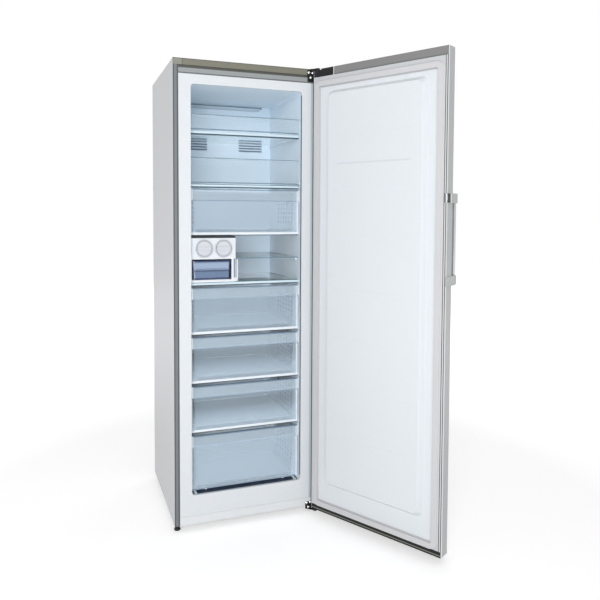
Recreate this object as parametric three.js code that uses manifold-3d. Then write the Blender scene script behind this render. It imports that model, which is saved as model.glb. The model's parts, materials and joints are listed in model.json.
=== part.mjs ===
// Upright freezer with drawers, drop-down flaps and a twist ice maker, its door standing open.
//
// Millimetres. While the pieces are made, x runs across the cabinet from its middle, y runs
// back from the front flange and z up from the floor. The last lines turn the door to its
// open place and shift everything so that the origin is the bottom centre of the whole.
import * as THREE from 'three';
import { mergeVertices } from 'three/addons/utils/BufferGeometryUtils.js';
import Module from 'manifold-3d';

const wasm = await Module();
wasm.setup();

// ---------------------------------------------------------------- driving dimensions, mm

const FIT = 0.3;              // gap kept between pieces that touch

// cabinet outside
const WIDTH = 595;            // across the side panels
const CABINET_DEPTH = 570;    // front flange to the back of the side panels
const SHEET = 1;              // steel sheet, lacquer and all
const SIDE_FLANGE = 20.5;     // steel flange seen on each side of the front
const FLANGE_RETURN = 12;     // how far that flange folds back into the cabinet
const REAR_RETURN = 14;       // fold of each side panel across the back
const BODY_LIFT = 27;         // floor to the underside of the cabinet

// cabinet front, from the underside up
const KICK_RAIL = 33;         // white rail along the bottom
const LINER_SILL = 83;        // liner flange under the opening
const COMPARTMENTS = [231, 199, 197, 197, 200, 191, 208, 193];   // bottom to top
const LINER_HEAD = 37;        // liner flange over the opening
const TOP_RAIL = 32;          // light grey rail over the liner
const SHADOW_GAP = { height: 10, depth: 4 };  // step along the top of that rail
const TOP_BAND = 25;          // grey-brown band along the top edge

// liner
const LINER_SIDE = 47.5;      // liner flange on each side of the opening
const LINER_WALL = 2.5;
const LINER_RADIUS = 14;      // corners of the opening
const REAR_WALL = 70;         // back of the cavity to the back of the side panels
const STEP_RISE = 175;        // step over the compressor, above the cavity floor
const STEP_DEPTH = 150;       // how far that step comes forward
const RIB_REACH = 9;          // shelf ribs, inward from the side walls
const RIB_HEIGHT = 10;
const SKID_HEIGHT = 9.7;      // two ribs on the floor under the bottom drawer
const SKID_WIDTH = 9;
const SKID_SPACING = 330;
const SKID_FRONT_GAP = 6;     // skids to the front of the drawer's panel
const SKID_BACK_GAP = 20;     // skids to the step

// rails, base and rear
const RAIL_WALL = 2;
const PAN = 1.5;              // base pan sheet
const BAY_INSULATION = 47.5;  // step of the liner to the compressor bay
const REAR_BEAD = 3;          // stiffening beads of the rear panel
const REAR_BEAD_WIDTH = 40;
const REAR_BEADS = 4;

// shelves
const SHELF_FRONT = 36;       // front of the shelf trims, behind the flange
const SHELF_BACK_GAP = 12;    // shelves to the evaporator cover
const GLASS = 4;
const GLASS_LIFT = 14;        // underside of the glass over its level
const TRIM_DEPTH = 16;
const TRIM_LIP = 1.2;         // trim over the glass
const TRIM_SOLE = 8.5;        // trim under the glass
const TRIM_NOSE = 4;          // trim in front of the glass
const SHELF_SIDE_GAP = 1;

// flaps of the two top compartments
const FLAP_TOP = [82, 122];   // top edges over their shelf level: top one, second one
const FLAP_AXIS_Y = 26;
const FLAP_AXIS_RISE = 8;     // hinge line over the trim
const FLAP_BEAD = 4.5;        // radius of the bead round the hinge line
const FLAP_SHEET = 3;
const FLAP_GRIP = 9;          // lip along the top edge
const FLAP_PIN = 3;
const EAR = 3;                // ears on the trims that carry the flaps
const EAR_RADIUS = 7;

// drawers
const DRAWER_GRIP_Y = 14;     // front of the grip hood
const DRAWER_PANEL_Y = 32;    // front of the panel below it
const DRAWER_WALL = 2.5;
const FRONT_DROP = 3;         // bottom drawer's front under its box, before the skids
const DRAWER_SIDE_GAP = 3.5;  // front panel to the liner
const DRAWER_TOP_GAP = 1;     // front panel to the level above
const GRIP_HEIGHT = 44;
const BOX_INSET = 13;         // drawer box inside its front panel
const BOX_TAPER = 6;          // draft of the box walls
const BOX_HEAD = 8;           // box rim under the level above
const BOX_RIM = 4;
const BOX_RADIUS = 10;
const DRAWER_BACK_GAP = 8;    // drawer to what is behind it
const AIR_SLOTS = 5;
const AIR_SLOT_PITCH = 15;
const AIR_SLOT = { width: 5, length: 42, tilt: 0.42, start: 96 };

// evaporator and fan behind the back wall
const AIR_SPACE = 80;         // front of the evaporator cover to the back of the cavity
const COVER_WALL = 2.5;
const RETURN_SLOT = { half: 178, height: 18, drop: 4 };          // air slot under the ceiling
const LOUVRE = { near: 76, far: 184, slots: [2, 2, 5], rise: 10, pitch: 12, slot: 6, hood: 7 };
const EVAPORATOR = { bottom: 640, height: 230, depth: 50, fins: 9, fin: 1.4, tube: 4.5 };
const FAN = { z: 1060, radius: 56, hub: 15, blades: 7, shaft: 3, motor: 24, plate: 124, stand: 46 };

// compressor
const COMPRESSOR = { x: 70, radius: 62, height: 165, foot: 14, seam: 82, rim: 4, dome: 34 };
const COMPRESSOR_PLATE = { width: 190, depth: 130, lift: 12, sheet: 3, grommet: 9, inset: 14 };
const RELAY = { out: 22, half: 26, low: 50, high: 110 };
const PIPE = { radius: 4, aside: 45, drop: 24 };

// feet and rollers
const FOOT = { x: 283, y: 30, radius: 13, disc: 9, hex: 8, collar: 16, stud: 4, top: 46 };
const NUT = { radius: 10, height: 5.5 };
const ROLLER = { x: 250, back: 47, radius: 13, width: 15, pin: 3, cheek: 2.5 };

// ice maker, in the compartment of this index
const ICE_LEVEL = 4;
const ICE = { left: -225, width: 180, front: 25, depth: 280, wall: 3, floor: 10, head: 0.7 };
const ICE_AXIS_DROP = 48;     // knob axes under the top of the housing
const ICE_AXIS_SPACING = 78;
const ICE_KNOB = { radius: 35, rim: 10, shaft: 6, bearing: 4 };
const ICE_MOUTH = 82;         // height of the opening for the bucket
const ICE_JAMB = 16.5;        // front of the housing right of that opening
const ICE_TRAY = { half: 31, rise: 5, cell: 17, wall: 1.6, rows: 5, gap: 3 };
const BUCKET = { inset: 2, taper: 4, height: 76, wall: 2.5, radius: 8 };
const BUCKET_GRIP = { width: 130, reach: 7, drop: 40, height: 5 };
const SIDE_SHELF_RISE = 114;  // small shelf beside the ice maker, top over its level
const LEDGE = 6;

// door
const GASKET_GAP = 12;        // door's inner face to the cabinet flange
const DOOR_THICKNESS = 54;
const DOOR_BOTTOM = 24;
const DOOR_TOP_DROP = 6;      // door top under the cabinet top
const DOOR_RADIUS = 7;        // front corners of the skin
const SKIN_LIP = 10;          // fold of the skin over the inner face
const TOP_CAP = 33;
const BOTTOM_CAP = 22;
const DYKE = 20;              // how far the door liner bulges past its flange
const DYKE_BASE_GAP = 7.5;    // bulge to the opening's edge, at its root
const DYKE_DRAFT = 14;
const DYKE_RADIUS = 25;
const DOOR_RIB = { half: 165, height: 6, depth: 1.2 };
const GASKET_WIDTH = 27.5;
const GASKET_BOTTOM = 47;
const GASKET_HEAD = 2;        // gasket top over the liner flange

// door hinges
const HINGE_INSET = 10;       // pin from the door's side
const HINGE_BACK = 12;        // pin in front of the door's inner face
const HINGE_PIN = 5;
const HINGE_PLATE = 3;
const HINGE_FOOT = 45;        // width of the plates on the cabinet front
const HINGE_NOSE = 9.4;       // radius of the arms round the pin
const HINGE_ARM = 35;         // width of the arms at the cabinet
const ARM_GAP = 2;            // top arm over the door
const PIN_REACH = 23;         // how far the top pin goes down into the door
const HINGE_NOTCH = 4.5;      // notch in the door's top corner
const NOTCH_REACH = 27.5;     // its reach from the pin
const DOOR_OPENING = 119.4;   // degrees, as in the photograph

// handle on the door's free edge
const HANDLE_LOW = 1023;      // heights of the two brackets
const HANDLE_PITCH = 295;
const HANDLE = { height: 35, wrap: 3.5, foot: 17, post: 29, cheek: 4.5, inboard: 4.5 };
const BAR = { width: 22, depth: 14, gap: 0.5, pin: 3.5 };
const PUSHER = { width: 15, nose: 32, thick: 5.2, reach: 47 };

// ---------------------------------------------------------------- places worked out

const HALF = WIDTH / 2;
const FLANGE_EDGE = HALF - SIDE_FLANGE;
const OPEN_HALF = FLANGE_EDGE - LINER_SIDE;
const RAIL_TOP = BODY_LIFT + KICK_RAIL;
const CAVITY_FLOOR = RAIL_TOP + LINER_SILL;
const LEVELS = COMPARTMENTS.reduce((list, pitch) => [...list, list.at(-1) + pitch], [CAVITY_FLOOR]);
const CEILING = LEVELS.at(-1);
const LINER_TOP = CEILING + LINER_HEAD;
const BAND_BOTTOM = LINER_TOP + TOP_RAIL;
const HEIGHT = BAND_BOTTOM + TOP_BAND;
const CAVITY_DEPTH = CABINET_DEPTH - REAR_WALL;
const COVER_Y = CAVITY_DEPTH - AIR_SPACE;               // front of the evaporator cover
const SHELF_BACK = COVER_Y - SHELF_BACK_GAP;
const STEP_TOP = CAVITY_FLOOR + STEP_RISE;
const STEP_FRONT = CAVITY_DEPTH - STEP_DEPTH;
const BAY_WALL = STEP_FRONT + BAY_INSULATION;         // front wall of the compressor bay
const BAY_ROOF = STEP_TOP - BAY_INSULATION;
const TRIM_HEIGHT = GLASS_LIFT + GLASS + FIT + TRIM_LIP;
const TRIM_BOTTOM = GLASS_LIFT - FIT - TRIM_SOLE;
const RIB_BOTTOM = GLASS_LIFT - FIT - RIB_HEIGHT;
const SEAT = TRIM_HEIGHT + FIT;                       // what stands on a shelf, over its level
const REAR_PANEL_Y = CABINET_DEPTH - SHEET - FIT;     // back of the rear panel
const PAN_BACK = REAR_PANEL_Y - SHEET - FIT;
const ROLLER_Y = PAN_BACK - ROLLER.back;
const FOAM_HALF = HALF - SHEET - FIT;
const FOAM_FRONT = FLANGE_RETURN + FIT;
const DOOR_INNER = -GASKET_GAP;
const DOOR_OUTER = DOOR_INNER - DOOR_THICKNESS;
const DOOR_TOP = HEIGHT - DOOR_TOP_DROP;
const PIN_X = HALF - HINGE_INSET;
const PIN_Y = DOOR_INNER - HINGE_BACK;
const NOTCH_FLOOR = DOOR_TOP - HINGE_NOTCH;
const TOP_ARM = NOTCH_FLOOR + ARM_GAP;
const ICE_TOP = LEVELS[ICE_LEVEL + 1] + Math.min(TRIM_BOTTOM, RIB_BOTTOM) - ICE.head;
const ICE_BOTTOM = LEVELS[ICE_LEVEL] + SEAT;
const ICE_RIGHT = ICE.left + ICE.width;
const ICE_AXIS_Z = ICE_TOP - ICE_AXIS_DROP;
const ICE_MIDDLE = ICE.left + ICE.width / 2;

// ---------------------------------------------------------------- geometry helpers

const toSolid = (geometry) => {
  const bare = geometry.clone();
  bare.deleteAttribute('normal');
  bare.deleteAttribute('uv');
  const merged = mergeVertices(bare, 1e-4);
  return new wasm.Manifold(new wasm.Mesh({
    numProp: 3,
    vertProperties: new Float32Array(merged.attributes.position.array),
    triVerts: new Uint32Array(merged.index.array),
  }));
};

const toGeometry = (solid) => {
  const mesh = solid.getMesh();
  const geometry = new THREE.BufferGeometry();
  geometry.setAttribute('position', new THREE.BufferAttribute(mesh.vertProperties, 3));
  geometry.setIndex(new THREE.BufferAttribute(mesh.triVerts, 1));
  const flat = geometry.toNonIndexed();
  flat.computeVertexNormals();
  return flat;
};

const join = (...parts) => toGeometry(wasm.Manifold.union(parts.flat().map(toSolid)));

const cut = (body, ...tools) => {
  const removed = wasm.Manifold.union(tools.flat().map(toSolid));
  return toGeometry(toSolid(body).subtract(removed));
};

const box = (x0, x1, y0, y1, z0, z1) => {
  const geometry = new THREE.BoxGeometry(x1 - x0, y1 - y0, z1 - z0);
  return geometry.translate((x0 + x1) / 2, (y0 + y1) / 2, (z0 + z1) / 2);
};

const polygon = (points) => new THREE.Shape(points.map(([a, b]) => new THREE.Vector2(a, b)));

const roundedRect = (x0, x1, y0, y1, radius) => {
  const shape = new THREE.Shape();
  shape.absarc(x1 - radius, y0 + radius, radius, -Math.PI / 2, 0);
  shape.absarc(x1 - radius, y1 - radius, radius, 0, Math.PI / 2);
  shape.absarc(x0 + radius, y1 - radius, radius, Math.PI / 2, Math.PI);
  shape.absarc(x0 + radius, y0 + radius, radius, Math.PI, Math.PI * 1.5);
  return shape;
};

const extrude = (shape, depth, curveSegments) =>
  new THREE.ExtrudeGeometry(shape, { depth, curveSegments, bevelEnabled: false });

// shape in (x, y), drawn along z
const prismZ = (shape, z0, z1, segments = 5) =>
  extrude(shape, z1 - z0, segments).translate(0, 0, z0);

// shape in (x, z), drawn along y
const prismY = (shape, y0, y1, segments = 5) =>
  extrude(shape, y1 - y0, segments).rotateX(Math.PI / 2).translate(0, y1, 0);

// shape in (y, z), drawn along x
const TURN_TO_X = new THREE.Matrix4().set(0, 0, 1, 0, 1, 0, 0, 0, 0, 1, 0, 0, 0, 0, 0, 1);
const prismX = (shape, x0, x1, segments = 5) =>
  extrude(shape, x1 - x0, segments).applyMatrix4(TURN_TO_X).translate(x0, 0, 0);

const rodX = (radius, x0, x1, y, z, sides = 16) =>
  new THREE.CylinderGeometry(radius, radius, x1 - x0, sides).rotateZ(-Math.PI / 2)
    .translate((x0 + x1) / 2, y, z);

const rodY = (radius, y0, y1, x, z, sides = 16) =>
  new THREE.CylinderGeometry(radius, radius, y1 - y0, sides).translate(x, (y0 + y1) / 2, z);

const rodZ = (radius, z0, z1, x, y, sides = 16) =>
  new THREE.CylinderGeometry(radius, radius, z1 - z0, sides).rotateX(Math.PI / 2)
    .translate(x, y, (z0 + z1) / 2);

// profile of [radius, height] turned round z
const turned = (profile, x, y, z, sides = 24) =>
  new THREE.LatheGeometry(profile.map(([r, h]) => new THREE.Vector2(r, h)), sides)
    .rotateX(Math.PI / 2).translate(x, y, z);

// a ring of points round a rounded rectangle at height z, anticlockwise from above
const ring = (x0, x1, y0, y1, radius, z, steps = 3) => {
  const corners = [[x1, y0, -1], [x1, y1, 0], [x0, y1, 1], [x0, y0, 2]];
  return corners.flatMap(([x, y, quarter]) => {
    const cx = x === x1 ? x1 - radius : x0 + radius;
    const cy = y === y1 ? y1 - radius : y0 + radius;
    return Array.from({ length: steps + 1 }, (_, i) => {
      const angle = (quarter + i / steps) * Math.PI / 2;
      return [cx + radius * Math.cos(angle), cy + radius * Math.sin(angle), z];
    });
  });
};

// skin over a row of rings; capped at both ends, or closed on itself
const skinOver = (rings, closed = false) => {
  const count = rings[0].length;
  const faces = [];
  const bands = closed ? rings.length : rings.length - 1;
  for (let band = 0; band < bands; band += 1) {
    const low = band * count;
    const high = ((band + 1) % rings.length) * count;
    for (let i = 0; i < count; i += 1) {
      const next = (i + 1) % count;
      faces.push(low + i, low + next, high + next, low + i, high + next, high + i);
    }
  }
  const last = (rings.length - 1) * count;
  for (let i = 1; i < count - 1 && !closed; i += 1) {
    faces.push(0, i + 1, i, last, last + i, last + i + 1);
  }
  const geometry = new THREE.BufferGeometry();
  geometry.setAttribute('position', new THREE.Float32BufferAttribute(rings.flat(2), 3));
  geometry.setIndex(faces);
  return geometry;
};

// the same rings drawn along +y instead of +z: (x, y, z) becomes (x, z, -y)
const alongY = (geometry) => geometry.rotateX(-Math.PI / 2);

const finish = (color, roughness, metalness = 0, opacity = 1) => ({
  color, roughness, metalness, opacity, transparent: opacity < 1,
});

const STEEL = finish('#c3c4c6', 0.42, 0.35);
const WHITE = finish('#e7eaee', 0.35);
const CLEAR = finish('#bccddb', 0.2, 0, 0.55);
const GREY = finish('#b6bab8', 0.4);
const BROWN_GREY = finish('#85827a', 0.45);
const BLACK = finish('#1d1d1f', 0.5);
const BARE_STEEL = finish('#9a9b9d', 0.35, 0.8);
const FOAM = finish('#e2d9a8', 0.95);

const cabinet = new THREE.Group();
const door = new THREE.Group();

const add = (group, name, geometry, look) => {
  const mesh = new THREE.Mesh(geometry, new THREE.MeshStandardMaterial(look));
  mesh.name = name;
  group.add(mesh);
};

// ---------------------------------------------------------------- steel wrapper and rails

// folded sheet: front flange with its return, side wall, return across the back; the flange
// ends under the band
const sidePanel = (side) => {
  const points = [
    [HALF, 0], [HALF, CABINET_DEPTH], [HALF - REAR_RETURN, CABINET_DEPTH],
    [HALF - REAR_RETURN, CABINET_DEPTH - SHEET], [HALF - SHEET, CABINET_DEPTH - SHEET],
    [HALF - SHEET, SHEET], [FLANGE_EDGE + SHEET, SHEET], [FLANGE_EDGE + SHEET, FLANGE_RETURN],
    [FLANGE_EDGE, FLANGE_RETURN], [FLANGE_EDGE, 0],
  ];
  const sheet = prismZ(polygon(points.map(([x, y]) => [side * x, y])), BODY_LIFT, HEIGHT);
  const [near, far] = [side * (FLANGE_EDGE - 1), side * (HALF - SHEET)];
  return cut(sheet, box(Math.min(near, far), Math.max(near, far), -1, FLANGE_RETURN + 1,
    BAND_BOTTOM, HEIGHT + 1));
};

// channel across the front
const crossRail = (low, high, half) => prismX(polygon([
  [0, low], [FLANGE_RETURN, low], [FLANGE_RETURN, low + RAIL_WALL], [RAIL_WALL, low + RAIL_WALL],
  [RAIL_WALL, high - RAIL_WALL], [FLANGE_RETURN, high - RAIL_WALL], [FLANGE_RETURN, high], [0, high],
]), -half, half);

// the rail under the band, stepped back along its top
const steppedRail = (low, high, half) => {
  const step = high - SHADOW_GAP.height;
  const { depth } = SHADOW_GAP;
  return prismX(polygon([
    [0, low], [FLANGE_RETURN, low], [FLANGE_RETURN, low + RAIL_WALL], [RAIL_WALL, low + RAIL_WALL],
    [RAIL_WALL, step - RAIL_WALL], [depth + RAIL_WALL, step - RAIL_WALL],
    [depth + RAIL_WALL, high - RAIL_WALL], [FLANGE_RETURN, high - RAIL_WALL], [FLANGE_RETURN, high],
    [depth, high], [depth, step], [0, step],
  ]), -half, half);
};

// top plate with a fold down at the back, in line with the rear panel
const topPlate = () => prismX(polygon([
  [FOAM_FRONT, HEIGHT - SHEET], [REAR_PANEL_Y - SHEET - FIT, HEIGHT - SHEET],
  [REAR_PANEL_Y - SHEET - FIT, HEIGHT - TOP_BAND], [REAR_PANEL_Y - FIT, HEIGHT - TOP_BAND],
  [REAR_PANEL_Y - FIT, HEIGHT], [FOAM_FRONT, HEIGHT],
]), -FOAM_HALF, FOAM_HALF);

// sheet with upright beads pressed outward
const rearPanel = () => {
  const front = REAR_PANEL_Y - SHEET;
  const pitch = 2 * OPEN_HALF / REAR_BEADS;
  const back = [[-FOAM_HALF, 0]];
  for (let i = 0; i < REAR_BEADS; i += 1) {
    const middle = (i - (REAR_BEADS - 1) / 2) * pitch;
    const half = REAR_BEAD_WIDTH / 2;
    back.push([middle - half, 0], [middle - half + REAR_BEAD, REAR_BEAD],
      [middle + half - REAR_BEAD, REAR_BEAD], [middle + half, 0]);
  }
  back.push([FOAM_HALF, 0]);
  const outer = back.map(([x, y]) => [x, REAR_PANEL_Y + y]);
  const inner = back.map(([x, y]) => [x, front + y]).reverse();
  return prismZ(polygon([...outer, ...inner]), BAY_ROOF + FIT, HEIGHT - TOP_BAND - FIT);
};

// base pan: floor, bay wall and bay roof folded from one sheet, nuts for the feet, roller forks
const basePan = () => {
  const low = BODY_LIFT;
  const sheet = prismX(polygon([
    [FOAM_FRONT, low], [PAN_BACK, low], [PAN_BACK, low + PAN], [BAY_WALL + PAN, low + PAN],
    [BAY_WALL + PAN, BAY_ROOF - PAN], [PAN_BACK, BAY_ROOF - PAN], [PAN_BACK, BAY_ROOF],
    [BAY_WALL, BAY_ROOF], [BAY_WALL, low + PAN], [FOAM_FRONT, low + PAN],
  ]), -FOAM_HALF, FOAM_HALF);
  const additions = [];
  const holes = [];
  for (const side of [-1, 1]) {
    additions.push(rodZ(NUT.radius, low + PAN / 2, low + PAN + NUT.height, side * FOOT.x, FOOT.y, 6));
    holes.push(rodZ(FOOT.stud + FIT, low - 1, low + PAN + NUT.height + 1, side * FOOT.x, FOOT.y));
    const gap = ROLLER.width / 2 + FIT;
    const middle = side * ROLLER.x;
    const cheek = polygon([
      [ROLLER_Y - ROLLER.radius - 4, low + PAN / 2], [ROLLER_Y - 7, ROLLER.radius - 6],
      [ROLLER_Y + 7, ROLLER.radius - 6], [ROLLER_Y + ROLLER.radius + 4, low + PAN / 2],
    ]);
    additions.push(prismX(cheek, middle - gap - ROLLER.cheek, middle - gap));
    additions.push(prismX(cheek, middle + gap, middle + gap + ROLLER.cheek));
    additions.push(rodX(ROLLER.pin, middle - gap - 1, middle + gap + 1, ROLLER_Y, ROLLER.radius));
  }
  return cut(join(sheet, additions), holes);
};

// ---------------------------------------------------------------- liner and insulation

// the cavity's solid outline grown by a wall: deep box with the compressor step left out
const cavityBlock = (grow, front) => {
  const block = prismY(roundedRect(-OPEN_HALF - grow, OPEN_HALF + grow, CAVITY_FLOOR - grow,
    CEILING + grow, LINER_RADIUS + grow), front, CAVITY_DEPTH + grow, 4);
  const past = grow + 1;
  const step = box(-OPEN_HALF - past, OPEN_HALF + past, STEP_FRONT + grow, CAVITY_DEPTH + past,
    CAVITY_FLOOR - past, STEP_TOP - grow);
  return cut(block, step);
};

const shelfRib = (side, top) => {
  const wall = side * (OPEN_HALF + LINER_WALL / 2);
  const tip = side * (OPEN_HALF - RIB_REACH);
  return prismY(polygon([
    [wall, top - RIB_HEIGHT], [tip, top - RIB_HEIGHT + 4], [tip, top], [wall, top],
  ]), SHELF_FRONT + TRIM_DEPTH + 1, SHELF_BACK - 4);
};

const innerLiner = () => {
  const flange = box(-FLANGE_EDGE + FIT, FLANGE_EDGE - FIT, 0, LINER_WALL, RAIL_TOP + FIT,
    LINER_TOP - FIT);
  const shell = cut(join(flange, cavityBlock(LINER_WALL, 0)), cavityBlock(0, -1));
  const ribs = LEVELS.slice(1, -1).flatMap((level) =>
    [-1, 1].map((side) => shelfRib(side, level + GLASS_LIFT - FIT)));
  ribs.push(shelfRib(1, LEVELS[ICE_LEVEL] + SIDE_SHELF_RISE - GLASS - FIT));
  for (const side of [-1, 1]) {
    const middle = side * SKID_SPACING / 2;
    ribs.push(box(middle - SKID_WIDTH / 2, middle + SKID_WIDTH / 2, DRAWER_PANEL_Y + SKID_FRONT_GAP,
      STEP_FRONT - SKID_BACK_GAP, CAVITY_FLOOR - 1, CAVITY_FLOOR + SKID_HEIGHT));
  }
  return join(shell, ribs);
};

const insulationFoam = () => {
  const back = PAN_BACK;
  const block = box(-FOAM_HALF, FOAM_HALF, FOAM_FRONT, back, BODY_LIFT + PAN + FIT,
    HEIGHT - SHEET - FIT);
  const bay = box(-HALF, HALF, BAY_WALL - FIT, back + 1, 0, BAY_ROOF + FIT);
  const pockets = [-1, 1].map((side) => rodZ(NUT.radius + 1, 0, FOOT.top + 2, side * FOOT.x, FOOT.y));
  return cut(block, bay, cavityBlock(LINER_WALL + FIT, -1), pockets);
};

// ---------------------------------------------------------------- cold air parts

// louvred vent: slots with a sloping hood over each
const louvre = (side, middle, count) => {
  const x0 = side > 0 ? LOUVRE.near : -LOUVRE.far;
  const x1 = side > 0 ? LOUVRE.far : -LOUVRE.near;
  const slots = [];
  const hoods = [];
  for (let i = 0; i < count; i += 1) {
    const z = middle + (i - (count - 1) / 2) * LOUVRE.pitch;
    slots.push(box(x0, x1, COVER_Y - 1, COVER_Y + COVER_WALL + 1, z - LOUVRE.slot / 2, z + LOUVRE.slot / 2));
    const top = z + LOUVRE.slot / 2;
    hoods.push(prismX(polygon([
      [COVER_Y + 1, top], [COVER_Y - LOUVRE.hood, top - LOUVRE.slot + 1],
      [COVER_Y - LOUVRE.hood, top - LOUVRE.slot + 2.6], [COVER_Y + 1, top + 2.4],
    ]), x0 - 2, x1 + 2));
  }
  return { slots, hoods };
};

// back wall of the compartments: plate with side returns, air slot, louvres
const evaporatorCover = () => {
  const half = OPEN_HALF - FIT;
  const low = STEP_TOP + FIT;
  const back = CAVITY_DEPTH - FIT;
  const plan = [
    [-half, COVER_Y], [half, COVER_Y], [half, back], [half - COVER_WALL, back],
    [half - COVER_WALL, COVER_Y + COVER_WALL], [-half + COVER_WALL, COVER_Y + COVER_WALL],
    [-half + COVER_WALL, back], [-half, back],
  ];
  const plate = prismZ(polygon(plan), low, CEILING - LINER_RADIUS - FIT);
  const head = prismY(roundedRect(-half, half, CEILING - 3 * LINER_RADIUS, CEILING - FIT,
    LINER_RADIUS), COVER_Y, COVER_Y + COVER_WALL, 4);
  const slotTop = CEILING - RETURN_SLOT.drop;
  const slot = prismY(roundedRect(-RETURN_SLOT.half, RETURN_SLOT.half, slotTop - RETURN_SLOT.height,
    slotTop, RETURN_SLOT.height / 2 - 1), COVER_Y - 1, COVER_Y + COVER_WALL + 1, 4);
  const vents = [LEVELS[3], LEVELS[5], LEVELS[7]].flatMap((level, i) =>
    [-1, 1].map((side) => louvre(side, level + LOUVRE.rise, LOUVRE.slots[i])));
  const open = cut(join(plate, head), slot, vents.flatMap((vent) => vent.slots));
  return join(open, vents.flatMap((vent) => vent.hoods));
};

// finned-tube evaporator; its end plates stand against the cover's side returns
const evaporator = () => {
  const half = OPEN_HALF - 2 * FIT - COVER_WALL;
  const front = COVER_Y + COVER_WALL + 9;
  const top = EVAPORATOR.bottom + EVAPORATOR.height;
  const parts = [];
  for (let i = 0; i < EVAPORATOR.fins; i += 1) {
    const middle = -half + EVAPORATOR.fin / 2
      + i * (2 * half - EVAPORATOR.fin) / (EVAPORATOR.fins - 1);
    parts.push(box(middle - EVAPORATOR.fin / 2, middle + EVAPORATOR.fin / 2, front,
      front + EVAPORATOR.depth, EVAPORATOR.bottom, top));
  }
  for (const share of [0.2, 0.8]) {
    parts.push(rodX(EVAPORATOR.tube, -half + 0.2, half - 0.2, front + EVAPORATOR.depth / 2,
      EVAPORATOR.bottom + share * EVAPORATOR.height, 6));
  }
  return join(parts);
};

// motor on a plate whose four legs stand on the cover's back
const fanMotor = () => {
  const coverBack = COVER_Y + COVER_WALL + FIT;
  const plateY = coverBack + FAN.stand;
  const half = FAN.plate / 2;
  const plate = prismY(roundedRect(-half, half, FAN.z - half, FAN.z + half, 10), plateY, plateY + 3, 2);
  const open = cut(plate, [-1, 1].map((side) => box(side * half * 0.62 - 12, side * half * 0.62 + 12,
    plateY - 1, plateY + 4, FAN.z - half * 0.7, FAN.z + half * 0.7)));
  const legs = [[-1, -1], [-1, 1], [1, -1], [1, 1]].map(([a, b]) =>
    rodY(4, coverBack, plateY + 1, a * (half - 6), FAN.z + b * (half - 6), 8));
  const motor = rodY(FAN.motor, plateY - 8, plateY + 18, 0, FAN.z, 20);
  const shaft = rodY(FAN.shaft, coverBack + 8, plateY, 0, FAN.z, 12);
  return join(open, legs, motor, shaft);
};

// hub and pitched blades, running on the motor's shaft
const fanBlades = () => {
  const front = COVER_Y + COVER_WALL + 12;
  const back = front + 22;
  const hub = rodY(FAN.hub, front, back, 0, FAN.z, 16);
  const outline = new THREE.Shape();
  outline.moveTo(FAN.hub - 2, -8);
  outline.quadraticCurveTo(FAN.radius * 0.7, -20, FAN.radius, -10);
  outline.quadraticCurveTo(FAN.radius + 3, 4, FAN.radius - 4, 12);
  outline.quadraticCurveTo(FAN.radius * 0.6, 14, FAN.hub - 2, 8);
  const blades = Array.from({ length: FAN.blades }, (_, i) =>
    prismY(outline, -0.9, 0.9, 3).rotateX(0.55).rotateY(i * 2 * Math.PI / FAN.blades)
      .translate(0, (front + back) / 2, FAN.z));
  return cut(join(hub, blades), rodY(FAN.shaft + FIT, front - 1, back + 1, 0, FAN.z, 12));
};

// ---------------------------------------------------------------- compressor bay

// compressor on its plate and grommets, relay on its side, pipe to the wall in front
const compressor = () => {
  const floor = BODY_LIFT + PAN + FIT;
  const y = (BAY_WALL + PAN + PAN_BACK) / 2;
  const { x, radius: r, height, foot, seam, rim, dome } = COMPRESSOR;
  const shell = turned([[0, foot], [r * 0.75, foot + 2], [r, foot + 20], [r, seam - 4],
    [r + rim, seam - 2], [r + rim, seam + 2], [r, seam + 4], [r * 0.96, height - dome],
    [r * 0.7, height - 10], [0, height]], x, y, floor, 20);
  const { lift, sheet, grommet, inset } = COMPRESSOR_PLATE;
  const halfX = COMPRESSOR_PLATE.width / 2;
  const halfY = COMPRESSOR_PLATE.depth / 2;
  const plate = prismZ(roundedRect(x - halfX, x + halfX, y - halfY, y + halfY, inset - 2),
    floor + lift, floor + lift + sheet, 3);
  const grommets = [[-1, -1], [-1, 1], [1, -1], [1, 1]].map(([a, b]) =>
    rodZ(grommet, floor, floor + lift + 2 * sheet, x + a * (halfX - inset), y + b * (halfY - inset), 10));
  const pipeX = x - PIPE.aside;
  const pipeZ = floor + height - PIPE.drop;
  const path = new THREE.CatmullRomCurve3([
    new THREE.Vector3(x - r / 2, y - r / 2, pipeZ - 3 * PIPE.radius),
    new THREE.Vector3(pipeX, y - r * 0.8, pipeZ),
    new THREE.Vector3(pipeX, BAY_WALL + PAN + FIT, pipeZ),
  ]);
  const section = new THREE.Shape().absarc(0, 0, PIPE.radius, 0, 2 * Math.PI);
  const pipe = new THREE.ExtrudeGeometry(section, { steps: 8, curveSegments: 4, extrudePath: path });
  const relay = box(x + r - 8, x + r + RELAY.out, y - RELAY.half, y + RELAY.half, floor + RELAY.low,
    floor + RELAY.high);
  return join(shell, plate, grommets, pipe, relay);
};

// ---------------------------------------------------------------- shelves and flaps

const shelfGlass = (level) => box(-OPEN_HALF + SHELF_SIDE_GAP, OPEN_HALF - SHELF_SIDE_GAP,
  SHELF_FRONT + TRIM_NOSE + FIT, SHELF_BACK, level + GLASS_LIFT, level + GLASS_LIFT + GLASS);

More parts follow.
